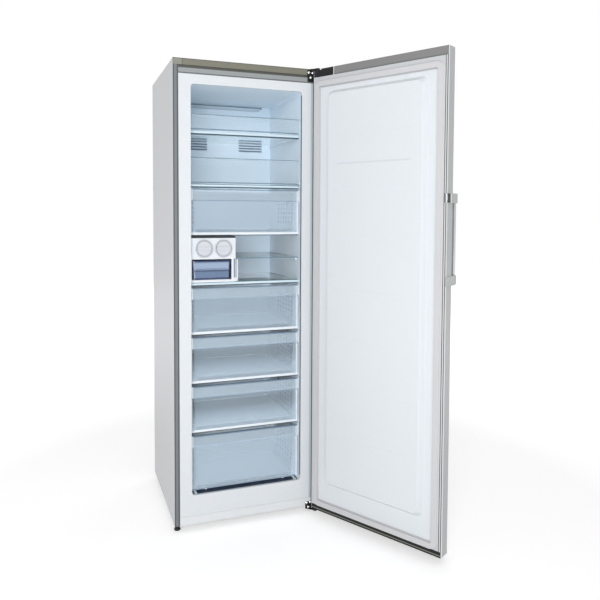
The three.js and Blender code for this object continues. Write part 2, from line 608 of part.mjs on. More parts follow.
// moulded channel over the front edge of the glass
const shelfTrim = (level) => {
  const front = SHELF_FRONT;
  const back = front + TRIM_DEPTH;
  const groove = front + TRIM_NOSE;
  const under = level + GLASS_LIFT - FIT;
  const bottom = level + TRIM_BOTTOM;
  const over = level + GLASS_LIFT + GLASS + FIT;
  const top = level + TRIM_HEIGHT;
  return prismX(polygon([
    [front + 1.5, bottom], [back, bottom], [back, under], [groove, under], [groove, over],
    [back, over], [back, top], [front + 2, top], [front, top - 3], [front, bottom + 2],
  ]), -OPEN_HALF + SHELF_SIDE_GAP, OPEN_HALF - SHELF_SIDE_GAP);
};

const flapAxis = (level) => level + TRIM_HEIGHT + FLAP_AXIS_RISE;

// trim with an ear at each end, bored for the flap's pins
const shelfTrimWithEars = (level) => {
  const z = flapAxis(level);
  const outer = OPEN_HALF - SHELF_SIDE_GAP;
  const parts = [shelfTrim(level)];
  const holes = [];
  for (const side of [-1, 1]) {
    const [x0, x1] = side > 0 ? [outer - EAR, outer] : [-outer, -outer + EAR];
    parts.push(rodX(EAR_RADIUS, x0, x1, FLAP_AXIS_Y, z));
    parts.push(prismX(polygon([
      [FLAP_AXIS_Y - 4, z - 6], [SHELF_FRONT + 1, level + TRIM_BOTTOM + 3],
      [SHELF_FRONT + TRIM_NOSE - 0.5, level + TRIM_BOTTOM + 3],
      [SHELF_FRONT + TRIM_NOSE - 0.5, level + TRIM_HEIGHT - 1], [FLAP_AXIS_Y + 4, z + 5.5],
    ]), x0, x1));
    holes.push(rodX(FLAP_PIN + FIT, x0 - 1, x1 + 1, FLAP_AXIS_Y, z));
  }
  return cut(join(parts), holes);
};

// clear flap: bead on the hinge line, sheet, rolled grip along the top
const flap = (level, height) => {
  const z = flapAxis(level);
  const top = level + height;
  const half = OPEN_HALF - SHELF_SIDE_GAP - EAR - 2 * FIT;
  const y0 = FLAP_AXIS_Y - FLAP_SHEET / 2;
  const y1 = FLAP_AXIS_Y + FLAP_SHEET / 2;
  const sheet = prismX(polygon([
    [y0, z], [y1, z], [y1, top - 2], [y1 - 2, top], [y0 - FLAP_GRIP + 2, top], [y0 - FLAP_GRIP, top - 2],
    [y0 - FLAP_GRIP, top - 9], [y0 - FLAP_GRIP + 2.5, top - 9], [y0 - FLAP_GRIP + 2.5, top - 3.5],
    [y0, top - 3.5],
  ]), -half, half);
  const bead = rodX(FLAP_BEAD, -half, half, FLAP_AXIS_Y, z, 12);
  const pins = rodX(FLAP_PIN, -half - EAR - FIT, half + EAR + FIT, FLAP_AXIS_Y, z, 12);
  return join(sheet, bead, pins);
};

// ---------------------------------------------------------------- drawers

// open box with drafted walls and a turned-out rim
const openBox = (x0, x1, y0, y1, z0, z1, { taper, rim, wall, radius }) => skinOver([
  ring(x0 + taper, x1 - taper, y0 + taper, y1 - taper, radius, z0),
  ring(x0, x1, y0, y1, radius, z1 - rim),
  ring(x0 - rim, x1 + rim, y0 - rim, y1 + rim, radius + rim, z1 - rim / 2),
  ring(x0 - rim, x1 + rim, y0 - rim, y1 + rim, radius + rim, z1),
  ring(x0 + wall, x1 - wall, y0 + wall, y1 - wall, radius - wall, z1),
  ring(x0 + taper + wall, x1 - taper - wall, y0 + taper + wall, y1 - taper - wall, radius - wall,
    z0 + wall),
]);

// front: panel that leans out into a hood to grip behind, closed at both ends
const drawerFront = (low, high) => {
  const half = OPEN_HALF - DRAWER_SIDE_GAP;
  const y0 = DRAWER_GRIP_Y;
  const y1 = DRAWER_PANEL_Y;
  const t = DRAWER_WALL;
  const hood = high - GRIP_HEIGHT;
  const section = polygon([
    [y1, low], [y1 + t, low], [y1 + t, high - 4], [y1 + t - 4, high], [y0 + 4, high], [y0, high - 4],
    [y0, hood], [y0 + t, hood], [y0 + t, high - 5.5], [y0 + t + 2.5, high - t], [y1 - 2.5, high - t],
    [y1, high - 5.5],
  ]);
  const end = polygon([
    [y1, hood - 14], [y1 + t, hood - 14], [y1 + t, high - 4], [y1 + t - 4, high], [y0 + 4, high],
    [y0, high - 4], [y0, hood],
  ]);
  const panel = prismX(section, -half, half);
  return join(panel, prismX(end, -half, -half + t), prismX(end, half - t, half));
};

const drawer = (index) => {
  const level = LEVELS[index];
  const bottom = index === 0 ? level + SKID_HEIGHT + FIT : level + SEAT;
  const high = LEVELS[index + 1] - DRAWER_TOP_GAP;
  const half = OPEN_HALF - DRAWER_SIDE_GAP - BOX_INSET;
  const back = (index === 0 ? STEP_FRONT : COVER_Y) - DRAWER_BACK_GAP - BOX_RIM;
  const tub = openBox(-half, half, DRAWER_PANEL_Y + BOX_RIM, back, bottom, LEVELS[index + 1] - BOX_HEAD,
    { taper: BOX_TAPER, rim: BOX_RIM, wall: DRAWER_WALL, radius: BOX_RADIUS });
  const web = box(-half + BOX_RADIUS, half - BOX_RADIUS, DRAWER_PANEL_Y + 1,
    DRAWER_PANEL_Y + BOX_RIM + BOX_TAPER + 1, bottom + 1, bottom + 12);
  const slots = Array.from({ length: AIR_SLOTS }, (_, i) =>
    new THREE.BoxGeometry(2 * half + 20, AIR_SLOT.width, AIR_SLOT.length).rotateX(AIR_SLOT.tilt)
      .translate(0, AIR_SLOT.start + i * AIR_SLOT_PITCH, (bottom + high) / 2 - 8));
  return join(cut(tub, slots), web, drawerFront(index === 0 ? bottom - FRONT_DROP : bottom, high));
};

// ---------------------------------------------------------------- ice maker

const iceAxis = (side) => ICE_MIDDLE + side * ICE_AXIS_SPACING / 2;

// shell open at the front below the knobs, bored for the tray shafts, ledge for the side shelf
const iceHousing = () => {
  const { left, front, wall } = ICE;
  const back = front + ICE.depth;
  const floor = ICE_BOTTOM + ICE.floor;
  const shell = box(left, ICE_RIGHT, front, back, ICE_BOTTOM, ICE_TOP);
  const chamber = box(left + wall, ICE_RIGHT - wall, front + wall, back - wall, floor, ICE_TOP - wall);
  const mouth = box(left + wall, ICE_RIGHT - ICE_JAMB, front - 1, front + wall + 1, floor,
    floor + ICE_MOUTH);
  const bores = [-1, 1].flatMap((side) => [
    rodY(ICE_KNOB.shaft + FIT, front - 1, front + wall + 1, iceAxis(side), ICE_AXIS_Z),
    rodY(ICE_KNOB.bearing + FIT, back - wall - 1, back + 1, iceAxis(side), ICE_AXIS_Z),
  ]);
  const ledgeTop = LEVELS[ICE_LEVEL] + SIDE_SHELF_RISE - GLASS - FIT;
  const ledge = prismY(polygon([
    [ICE_RIGHT - 1, ledgeTop - RIB_HEIGHT], [ICE_RIGHT + LEDGE, ledgeTop - 4],
    [ICE_RIGHT + LEDGE, ledgeTop], [ICE_RIGHT - 1, ledgeTop],
  ]), SHELF_FRONT + TRIM_DEPTH + 1, back - 4);
  return join(cut(shell, chamber, mouth, bores), ledge);
};

// dished knob with a grip bar across it and a shaft to the tray
const iceKnob = (side) => {
  const x = iceAxis(side);
  const back = ICE.front - FIT;
  const r = ICE_KNOB.radius;
  const dish = new THREE.LatheGeometry([[0, 0], [r - 2, 0], [r, -2], [r, -ICE_KNOB.rim + 1],
    [r - 1.5, -ICE_KNOB.rim], [r - 4, -ICE_KNOB.rim], [r - 8, -3.5], [0, -2.5]]
    .map(([a, b]) => new THREE.Vector2(a, b)).reverse(), 24).translate(x, back, ICE_AXIS_Z);
  const grip = prismY(roundedRect(x - r + 7, x + r - 7, ICE_AXIS_Z - 6, ICE_AXIS_Z + 6, 5),
    back - ICE_KNOB.rim, back - 1, 3);
  const shaft = rodY(ICE_KNOB.shaft, back - 1, ICE.front + ICE.wall + 6, x, ICE_AXIS_Z);
  return join(dish, grip, shaft);
};

// tray of tapered cups under a rim, on a journal at each end
const iceTray = (side) => {
  const x = iceAxis(side);
  const y0 = ICE.front + ICE.wall + 6 + FIT;
  const y1 = ICE.front + ICE.depth - ICE.wall - 4;
  const { half, rise, cell, wall, rows, gap } = ICE_TRAY;
  const rimLow = ICE_AXIS_Z + rise - 2;
  const rimTop = ICE_AXIS_Z + rise;
  const rim = prismZ(roundedRect(x - half, x + half, y0, y1, 4), rimLow, rimTop, 2);
  const pitch = (y1 - y0 - 8) / rows;
  const cups = [];
  const hollows = [];
  for (let row = 0; row < rows; row += 1) {
    for (const column of [-1, 1]) {
      const cx0 = column < 0 ? x - half + 3 : x + gap / 2;
      const cx1 = column < 0 ? x - gap / 2 : x + half - 3;
      const cy0 = y0 + 4 + row * pitch + gap / 2;
      const cy1 = cy0 + pitch - gap;
      const cup = (grow, low, high) => skinOver([
        ring(cx0 + 4 - grow, cx1 - 4 + grow, cy0 + 6 - grow, cy1 - 6 + grow, 5, low, 1),
        ring(cx0 - grow, cx1 + grow, cy0 - grow, cy1 + grow, 4, high, 1),
      ]);
      cups.push(cup(0, ICE_AXIS_Z - cell, rimTop - 0.5));
      hollows.push(cup(-wall, ICE_AXIS_Z - cell + wall, rimTop + 0.5));
    }
  }
  const ends = [
    prismY(roundedRect(x - 12, x + 12, ICE_AXIS_Z - 9, rimTop, 3), y0, y0 + 4, 2),
    prismY(roundedRect(x - 12, x + 12, ICE_AXIS_Z - 9, rimTop, 3), y1 - 4, y1, 2),
    rodY(ICE_KNOB.bearing, y1 - 1, ICE.front + ICE.depth, x, ICE_AXIS_Z, 12),
  ];
  return join(cut(join(rim, cups), hollows), ends);
};

const iceBucket = () => {
  const low = ICE_BOTTOM + ICE.floor + FIT;
  const x0 = ICE.left + ICE.wall + BUCKET.inset;
  const x1 = ICE_RIGHT - ICE_JAMB - BUCKET.inset;
  const y0 = ICE.front + 2;
  const top = low + BUCKET.height;
  const tub = openBox(x0, x1, y0, ICE.front + ICE.depth - ICE.wall - 8, low, top,
    { taper: BUCKET.taper, rim: 1.5, wall: BUCKET.wall, radius: BUCKET.radius });
  const { width, reach, drop, height } = BUCKET_GRIP;
  const middle = (x0 + x1) / 2;
  const grip = prismX(polygon([
    [y0 + 4, top - drop - 2], [y0 - reach + 1, top - drop - 2], [y0 - reach, top - drop],
    [y0 - reach, top - drop + height], [y0 + 4, top - drop + 2 * height],
  ]), middle - width / 2, middle + width / 2);
  return join(tub, grip);
};

// small shelf beside the ice maker
const sideShelf = () => {
  const top = LEVELS[ICE_LEVEL] + SIDE_SHELF_RISE;
  const front = SHELF_FRONT;
  return prismX(polygon([
    [front + 1.5, top], [front, top - 1.5], [front, top - GLASS], [SHELF_BACK, top - GLASS],
    [SHELF_BACK, top],
  ]), ICE_RIGHT + FIT, OPEN_HALF - SHELF_SIDE_GAP);
};

// ---------------------------------------------------------------- feet and rollers

const levellingFoot = (side) => {
  const { radius, disc, hex, collar, stud, top } = FOOT;
  const pad = turned([[0, 0], [radius - 1.5, 0], [radius, 1.5], [radius, disc - 3], [radius - 3, disc],
    [0, disc]], side * FOOT.x, FOOT.y, 0, 20);
  return join(pad, rodZ(hex, disc - 1, collar, side * FOOT.x, FOOT.y, 6),
    rodZ(stud, collar - 1, top, side * FOOT.x, FOOT.y, 12));
};

const rearRoller = (side) => {
  const half = ROLLER.width / 2;
  const r = ROLLER.radius;
  const bore = ROLLER.pin + FIT;
  const section = [[bore, -half], [r - 1.5, -half], [r, -half + 1.5], [r, half - 1.5], [r - 1.5, half],
    [bore, half], [bore, -half]].map(([a, b]) => new THREE.Vector2(a, b));
  return new THREE.LatheGeometry(section, 16).rotateZ(-Math.PI / 2)
    .translate(side * ROLLER.x, ROLLER_Y, ROLLER.radius);
};

// ---------------------------------------------------------------- door

// plan of the door inside its skin, grown inward by an inset
const doorPlan = (inset, inner) => {
  const shape = new THREE.Shape();
  const r = DOOR_RADIUS - inset;
  const half = HALF - inset;
  const outer = DOOR_OUTER + inset;
  shape.moveTo(half, inner);
  shape.lineTo(-half, inner);
  shape.absarc(-half + r, outer + r, r, Math.PI, Math.PI * 1.5);
  shape.absarc(half - r, outer + r, r, Math.PI * 1.5, Math.PI * 2);
  return shape;
};

const notchTool = (past) => box(PIN_X - NOTCH_REACH, HALF + 1, DOOR_OUTER + past, DOOR_INNER + 1,
  NOTCH_FLOOR, DOOR_TOP + 1);

// steel skin: front and sides, folded over the inner face between the two caps
const doorSkin = () => {
  const low = DOOR_BOTTOM;
  const inside = prismZ(doorPlan(SHEET, DOOR_INNER + 1), low - 1, DOOR_TOP + 1, 3);
  const shell = cut(prismZ(doorPlan(0, DOOR_INNER), low, DOOR_TOP, 3), inside);
  const lips = [-1, 1].map((side) => {
    const [x0, x1] = side > 0 ? [HALF - SKIN_LIP, HALF - SHEET / 2] : [-HALF + SHEET / 2, -HALF + SKIN_LIP];
    return box(x0, x1, DOOR_INNER - SHEET, DOOR_INNER, low + BOTTOM_CAP, DOOR_TOP - TOP_CAP);
  });
  return cut(join(shell, lips), notchTool(DOOR_RADIUS));
};

const doorTopCap = () => {
  const block = prismZ(doorPlan(SHEET + FIT, DOOR_INNER), DOOR_TOP - TOP_CAP + FIT, DOOR_TOP - 1, 3);
  return cut(block, notchTool(-1),
    rodZ(HINGE_PIN + FIT, DOOR_TOP - TOP_CAP - 1, DOOR_TOP + 1, PIN_X, PIN_Y, 20));
};

const doorBottomCap = () => cut(
  prismZ(doorPlan(SHEET + FIT, DOOR_INNER), DOOR_BOTTOM, DOOR_BOTTOM + BOTTOM_CAP - FIT, 3),
  rodZ(HINGE_PIN + FIT, DOOR_BOTTOM - 1, DOOR_BOTTOM + BOTTOM_CAP + 1, PIN_X, PIN_Y, 20));

// bulge of the door liner, smaller by an inset all round
const dykeBlock = (inset, back) => {
  const halfX = OPEN_HALF - DYKE_BASE_GAP - inset;
  const z0 = -(CEILING - DYKE_BASE_GAP - inset);
  const z1 = -(CAVITY_FLOOR + DYKE_BASE_GAP + inset);
  const d = DYKE_DRAFT;
  const front = DOOR_INNER + DYKE - inset;
  return alongY(skinOver([
    ring(-halfX, halfX, z0, z1, DYKE_RADIUS, back, 4),
    ring(-halfX, halfX, z0, z1, DYKE_RADIUS, DOOR_INNER, 4),
    ring(-halfX + d * 0.75, halfX - d * 0.75, z0 + d * 0.75, z1 - d * 0.75, DYKE_RADIUS, front - 4, 4),
    ring(-halfX + d, halfX - d, z0 + d, z1 - d, DYKE_RADIUS - 3, front, 4),
  ]));
};

const doorLiner = () => {
  const half = HALF - SKIN_LIP - FIT;
  const flange = box(-half, half, DOOR_INNER - LINER_WALL, DOOR_INNER, DOOR_BOTTOM + BOTTOM_CAP + FIT,
    DOOR_TOP - TOP_CAP - FIT);
  const shell = cut(join(flange, dykeBlock(0, DOOR_INNER - 1)),
    dykeBlock(LINER_WALL, DOOR_INNER - LINER_WALL - 1));
  const face = DOOR_INNER + DYKE;
  const grooves = LEVELS.slice(1, -1).map((level) => box(-DOOR_RIB.half, DOOR_RIB.half,
    face - DOOR_RIB.depth, face + 1, level - DOOR_RIB.height / 2, level + DOOR_RIB.height / 2));
  return cut(shell, grooves);
};

const doorFoam = () => {
  const back = DOOR_INNER - LINER_WALL - FIT;
  const block = prismZ(doorPlan(SHEET + FIT, back), DOOR_BOTTOM + BOTTOM_CAP, DOOR_TOP - TOP_CAP, 3);
  return join(block, dykeBlock(LINER_WALL + FIT, back - 1));
};

// magnetic seal: soft bulb on a foot, mitred round the door
const doorGasket = () => {
  const halfX = HALF - SKIN_LIP;
  const z0 = -(LINER_TOP + GASKET_HEAD);
  const z1 = -GASKET_BOTTOM;
  const w = GASKET_WIDTH;
  const h = GASKET_GAP - 2 * FIT;
  const section = [[0.5, 0], [w - 0.5, 0], [w, 2.2], [w - 7, 3.4], [w - 5, h - 4], [w - 2, h - 2],
    [w - 3, h], [4, h], [3, h - 2], [7, h - 4], [5, 4], [0, 2.2]];
  const rings = section.map(([inset, height]) => ring(-halfX + inset, halfX - inset, z0 + inset,
    z1 - inset, 30 - inset, DOOR_INNER + FIT + height, 3));
  return alongY(skinOver(rings.reverse(), true));
};

// ---------------------------------------------------------------- hinges

// arm seen from above, round the pin
const armShape = (grow) => {
  const shape = new THREE.Shape();
  const r = HINGE_NOSE + grow;
  shape.moveTo(HALF - 0.6, -FIT);
  shape.lineTo(HALF - 0.6 - HINGE_ARM - grow, -FIT);
  shape.lineTo(HALF - 0.6 - HINGE_ARM - grow, -8);
  shape.absarc(PIN_X, PIN_Y, r, Math.PI * 0.93, Math.PI * 2);
  return shape;
};

const hingeBracket = (plateLow, plateHigh, armLow, pinLow, pinHigh) => {
  const right = HALF - 0.6;
  const plate = prismY(roundedRect(right - HINGE_FOOT, right, plateLow, plateHigh, 4),
    -FIT - HINGE_PLATE, -FIT, 3);
  const arm = prismZ(armShape(0), armLow, armLow + HINGE_PLATE, 6);
  const pin = rodZ(HINGE_PIN, pinLow, pinHigh, PIN_X, PIN_Y, 20);
  const middle = (plateLow + plateHigh) / 2;
  const screws = [0.2, 0.5].map((share) => rodY(5, -FIT - HINGE_PLATE - 2, -FIT - 1,
    right - HINGE_FOOT * (1 - share), middle, 10));
  return [plate, arm, pin, screws];
};

const topHinge = () => join(...hingeBracket(LINER_TOP + GASKET_HEAD + 3, HEIGHT - 2, TOP_ARM,
  TOP_ARM - PIN_REACH, TOP_ARM + 1));

// cap over the arm, cut back to clear the plate
const hingeCover = () => {
  const cap = prismZ(armShape(0.4), TOP_ARM + HINGE_PLATE + FIT, HEIGHT - 1, 6);
  return cut(cap, box(0, HALF, -2 * FIT - HINGE_PLATE, 1, TOP_ARM, HEIGHT));
};

// the door's weight rests on the collar round the lower pin
const bottomHinge = () => {
  const low = DOOR_BOTTOM - 10;
  const collar = rodZ(8.5, low + 1, DOOR_BOTTOM - FIT, PIN_X, PIN_Y, 20);
  return join(...hingeBracket(low, GASKET_BOTTOM - 3, low, low + 1, DOOR_BOTTOM + BOTTOM_CAP - 4),
    collar);
};

// ---------------------------------------------------------------- handle

const POST_OUTER = -HALF + HANDLE.inboard;               // free-edge side of the posts
const POST_INNER = POST_OUTER + BAR.width + 2 * (BAR.gap + HANDLE.cheek);
const POST_FRONT = DOOR_OUTER - HANDLE.foot - HANDLE.post;
const BAR_Y = POST_FRONT + 11;

// bracket that wraps the door's edge and forks round the bar
const handleBracket = (z) => {
  const x0 = -HALF - FIT - HANDLE.wrap;
  const foot = DOOR_OUTER - HANDLE.foot;
  const plan = polygon([
    [x0, DOOR_INNER - 2], [x0, foot + 5], [x0 + 5, foot], [POST_OUTER, foot],
    [POST_OUTER, POST_FRONT + 3], [POST_OUTER + 3, POST_FRONT], [POST_INNER - 3, POST_FRONT],
    [POST_INNER, POST_FRONT + 3], [POST_INNER, DOOR_OUTER - FIT], [-HALF - FIT, DOOR_OUTER - FIT],
    [-HALF - FIT, DOOR_INNER - 2],
  ]);
  const block = prismZ(plan, z - HANDLE.height / 2, z + HANDLE.height / 2);
  const fork = box(POST_OUTER + HANDLE.cheek, POST_INNER - HANDLE.cheek, POST_FRONT - 1,
    BAR_Y + BAR.depth / 2 + 3, z - HANDLE.height, z + HANDLE.height);
  return cut(block, fork);
};

const upperBracket = () => {
  const z = HANDLE_LOW + HANDLE_PITCH;
  const window = box(-HALF - FIT - HANDLE.wrap - 1, -HALF + 1, DOOR_INNER - PUSHER.reach - 6, 0,
    z - PUSHER.width / 2 - FIT, z + PUSHER.width / 2 + FIT);
  return cut(handleBracket(z), window);
};

const lowerBracket = () => join(handleBracket(HANDLE_LOW),
  rodX(BAR.pin, POST_OUTER + 1, POST_INNER - 1, BAR_Y, HANDLE_LOW, 12));

const handleBar = () => {
  const r = BAR.depth / 2;
  const x0 = POST_OUTER + HANDLE.cheek + BAR.gap;
  const outline = new THREE.Shape();
  outline.absarc(BAR_Y, HANDLE_LOW, r, Math.PI, Math.PI * 2);
  outline.absarc(BAR_Y, HANDLE_LOW + HANDLE_PITCH, r, 0, Math.PI);
  const bar = prismX(outline, x0, x0 + BAR.width, 8);
  return cut(bar, rodX(BAR.pin + FIT, x0 - 1, x0 + BAR.width + 1, BAR_Y, HANDLE_LOW, 12));
};

// slide that presses on the cabinet flange when the handle is pulled
const handlePusher = () => {
  const z = HANDLE_LOW + HANDLE_PITCH;
  const x0 = -HALF - FIT - HANDLE.wrap;
  const back = DOOR_INNER + FIT;
  const strip = box(x0, -HALF - FIT, DOOR_INNER - PUSHER.reach, back + 1, z - PUSHER.width / 2,
    z + PUSHER.width / 2);
  const nose = prismZ(polygon([
    [x0, back], [-HALF + SKIN_LIP - 2, back], [-HALF + SKIN_LIP - 2, back + PUSHER.thick - 1.5],
    [-HALF + SKIN_LIP - 4, back + PUSHER.thick], [x0 + 1, back + PUSHER.thick],
    [x0, back + PUSHER.thick - 1],
  ]), z - PUSHER.nose / 2, z + PUSHER.nose / 2);
  return join(strip, nose);
};

// ---------------------------------------------------------------- the assembly

add(cabinet, 'side_panel_left', sidePanel(-1), STEEL);
add(cabinet, 'side_panel_right', sidePanel(1), STEEL);
add(cabinet, 'top_plate', topPlate(), STEEL);
const railHalf = FLANGE_EDGE - FIT;
add(cabinet, 'top_front_band', crossRail(BAND_BOTTOM + FIT, HEIGHT, FOAM_HALF), BROWN_GREY);
add(cabinet, 'top_cross_rail', steppedRail(LINER_TOP + FIT, BAND_BOTTOM - FIT, railHalf), GREY);
add(cabinet, 'bottom_cross_rail', crossRail(BODY_LIFT, RAIL_TOP - FIT, railHalf), WHITE);
add(cabinet, 'rear_panel', rearPanel(), finish('#8f9193', 0.6, 0.4));
add(cabinet, 'base_pan', basePan(), BARE_STEEL);
add(cabinet, 'inner_liner', innerLiner(), WHITE);
add(cabinet, 'insulation_foam', insulationFoam(), FOAM);
add(cabinet, 'evaporator_cover', evaporatorCover(), finish('#c3d0db', 0.4));
add(cabinet, 'evaporator', evaporator(), finish('#c9ccce', 0.4, 0.8));
add(cabinet, 'fan_motor', fanMotor(), finish('#d9d9d6', 0.5));
add(cabinet, 'fan_blades', fanBlades(), WHITE);
add(cabinet, 'compressor', compressor(), BLACK);

LEVELS.slice(1, -1).forEach((level, i) => {
  const carriesFlap = i >= LEVELS.length - 4;
  add(cabinet, `shelf_glass_${i + 1}`, shelfGlass(level), finish('#c8dcd8', 0.08, 0, 0.35));
  add(cabinet, `shelf_trim_${i + 1}`, carriesFlap ? shelfTrimWithEars(level) : shelfTrim(level), WHITE);
});
add(cabinet, 'flap_top', flap(LEVELS[7], FLAP_TOP[0]), CLEAR);
add(cabinet, 'flap_second', flap(LEVELS[6], FLAP_TOP[1]), CLEAR);
[0, 1, 2, 3, 5].forEach((index, i) => add(cabinet, `drawer_${i + 1}`, drawer(index), CLEAR));

add(cabinet, 'ice_housing', iceHousing(), WHITE);
for (const [word, side] of [['left', -1], ['right', 1]]) {
  add(cabinet, `ice_knob_${word}`, iceKnob(side), finish('#f1f1f3', 0.3));
  add(cabinet, `ice_tray_${word}`, iceTray(side), finish('#dfe6ee', 0.4));
  add(cabinet, `foot_${word}`, levellingFoot(side), BLACK);
  add(cabinet, `rear_roller_${word}`, rearRoller(side), BLACK);
}
add(cabinet, 'ice_bucket', iceBucket(), finish('#5f789c', 0.2, 0, 0.6));
add(cabinet, 'side_shelf', sideShelf(), finish('#c8dcd8', 0.1, 0, 0.5));
add(cabinet, 'top_hinge', topHinge(), BARE_STEEL);
add(cabinet, 'hinge_cover', hingeCover(), BLACK);
add(cabinet, 'bottom_hinge', bottomHinge(), BARE_STEEL);

add(door, 'door_skin', doorSkin(), STEEL);
add(door, 'door_top_cap', doorTopCap(), BROWN_GREY);
add(door, 'door_bottom_cap', doorBottomCap(), BLACK);
add(door, 'door_liner', doorLiner(), WHITE);
add(door, 'door_foam', doorFoam(), FOAM);
add(door, 'door_gasket', doorGasket(), finish('#c8c8ca', 0.7));
add(door, 'handle_bracket_upper', upperBracket(), GREY);
add(door, 'handle_bracket_lower', lowerBracket(), GREY);
add(door, 'handle_bar', handleBar(), STEEL);
add(door, 'handle_pusher', handlePusher(), GREY);

// the door's pieces are made shut; they turn together about the hinge pins
door.children.forEach((mesh) => mesh.position.set(-PIN_X, -PIN_Y, 0));
door.position.set(PIN_X, PIN_Y, 0);
door.rotation.z = THREE.MathUtils.degToRad(DOOR_OPENING);

const freezer = new THREE.Group();
freezer.add(cabinet, door);
freezer.updateMatrixWorld(true);
const bounds = new THREE.Box3().setFromObject(freezer, true);
freezer.position.set(-(bounds.min.x + bounds.max.x) / 2, -(bounds.min.y + bounds.max.y) / 2,
  -bounds.min.z);

export default freezer;
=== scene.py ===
import json

import bmesh
import bpy
import numpy as np
from mathutils import Matrix, Vector


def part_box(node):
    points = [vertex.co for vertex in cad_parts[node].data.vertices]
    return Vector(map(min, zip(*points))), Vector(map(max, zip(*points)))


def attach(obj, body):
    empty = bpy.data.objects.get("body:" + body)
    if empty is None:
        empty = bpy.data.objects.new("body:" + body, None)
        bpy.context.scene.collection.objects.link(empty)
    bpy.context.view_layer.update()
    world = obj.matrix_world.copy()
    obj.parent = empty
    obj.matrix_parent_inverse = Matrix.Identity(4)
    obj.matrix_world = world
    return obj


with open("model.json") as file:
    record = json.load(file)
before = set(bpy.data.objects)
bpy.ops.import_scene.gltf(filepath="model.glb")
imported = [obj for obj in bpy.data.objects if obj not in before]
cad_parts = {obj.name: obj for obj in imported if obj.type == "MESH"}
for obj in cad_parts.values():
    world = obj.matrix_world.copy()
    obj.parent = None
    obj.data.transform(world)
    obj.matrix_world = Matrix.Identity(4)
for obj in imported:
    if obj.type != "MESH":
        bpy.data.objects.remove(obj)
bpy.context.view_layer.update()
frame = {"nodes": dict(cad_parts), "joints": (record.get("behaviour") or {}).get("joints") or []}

# ------------------------------------------------------------------------------------------
# The place of the cabinet. Its front stands at y = front, its middle at x = middle, its
# floor at z = 0. Later sizes count from these three; the frame is in metres, a size in mm.
mm = 0.001
middle = (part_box("side_panel_left")[0].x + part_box("side_panel_right")[1].x) / 2
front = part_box("side_panel_left")[0].y

# ------------------------------------------------------------------------------------------
# The camera stands in front and to the left at chest height, as in the photograph, 2.4 m from
# the cabinet. 37.6 mm lens on a 36 mm sensor, shifted a little to frame the open door.
camera_data = bpy.data.cameras.new("camera")
camera_data.sensor_width = 36
camera_data.lens = 37.6155
camera_data.shift_x = 0.0167
camera_data.shift_y = -0.0917
camera = bpy.data.objects.new("camera", camera_data)
bpy.context.scene.collection.objects.link(camera)
yaw, pitch, roll = np.radians([19.9361, -2.7968, 0.2391])
forward = Vector((np.sin(yaw) * np.cos(pitch), np.cos(yaw) * np.cos(pitch), np.sin(pitch)))
sideways = Vector((np.cos(yaw), -np.sin(yaw), 0))
upward = sideways.cross(forward)
right_edge = np.cos(roll) * sideways + np.sin(roll) * upward
up_edge = np.cos(roll) * upward - np.sin(roll) * sideways
turn = Matrix((right_edge, up_edge, -forward)).transposed().to_4x4()
eye = (middle - 698.016 * mm, front - 2418.236 * mm, 1258.425 * mm)
camera.matrix_world = Matrix.Translation(eye) @ turn
bpy.context.scene.camera = camera
bpy.context.scene.view_settings.view_transform = "Standard"


# ------------------------------------------------------------------------------------------
# The room: a matt pale floor that keeps the freezer's shadow, a white world, and four large
# soft lamps aimed at the freezer's middle: one high in front that reaches into the
# compartments, one at floor height in front for their ceilings, weak ones at the left and behind.
def linear(hex_colour, alpha=1.0):
    """sRGB hex to linear: c / 12.92 up to 0.04045, else ((c + 0.055) / 1.055) ** 2.4."""
    c = np.array([int(hex_colour[i:i + 2], 16) for i in (1, 3, 5)]) / 255
    c = np.where(c <= 0.04045, c / 12.92, ((c + 0.055) / 1.055) ** 2.4)
    return (*map(float, c), alpha)


def put(tree, kind, sockets=None, **fields):
    """Adds one node: fields are its own settings, sockets hold a value or an output to link."""
    made = tree.nodes.new(kind)
    for name, value in fields.items():
        setattr(made, name, value)
    for name, value in (sockets or {}).items():
        if isinstance(value, bpy.types.NodeSocket):
            tree.links.new(value, made.inputs[name])
        else:
            made.inputs[name].default_value = value
    return made


def sees_room(tree):
    """1 for a ray that shows the room behind things (camera, glossy, transmission), else 0."""
    ray = put(tree, "ShaderNodeLightPath").outputs
    seen = put(tree, "ShaderNodeMath", {0: ray["Is Camera Ray"], 1: ray["Is Glossy Ray"]},
               operation="MAXIMUM").outputs[0]
    return put(tree, "ShaderNodeMath", {0: seen, 1: ray["Is Transmission Ray"]},
               operation="MAXIMUM").outputs[0]


# The world is white to look at and lights the freezer at about half that strength.
world = bpy.data.worlds.new("studio")
bpy.context.scene.world = world
world.use_nodes = True
tree = world.node_tree
tree.nodes.clear()
white = linear("#ffffff")
room_light = put(tree, "ShaderNodeBackground", {"Color": white, "Strength": 0.48})
room_white = put(tree, "ShaderNodeBackground", {"Color": white, "Strength": 1.0})
mixed = put(tree, "ShaderNodeMixShader", {0: sees_room(tree), 1: room_light.outputs[0],
                                          2: room_white.outputs[0]})
put(tree, "ShaderNodeOutputWorld", {"Surface": mixed.outputs[0]})

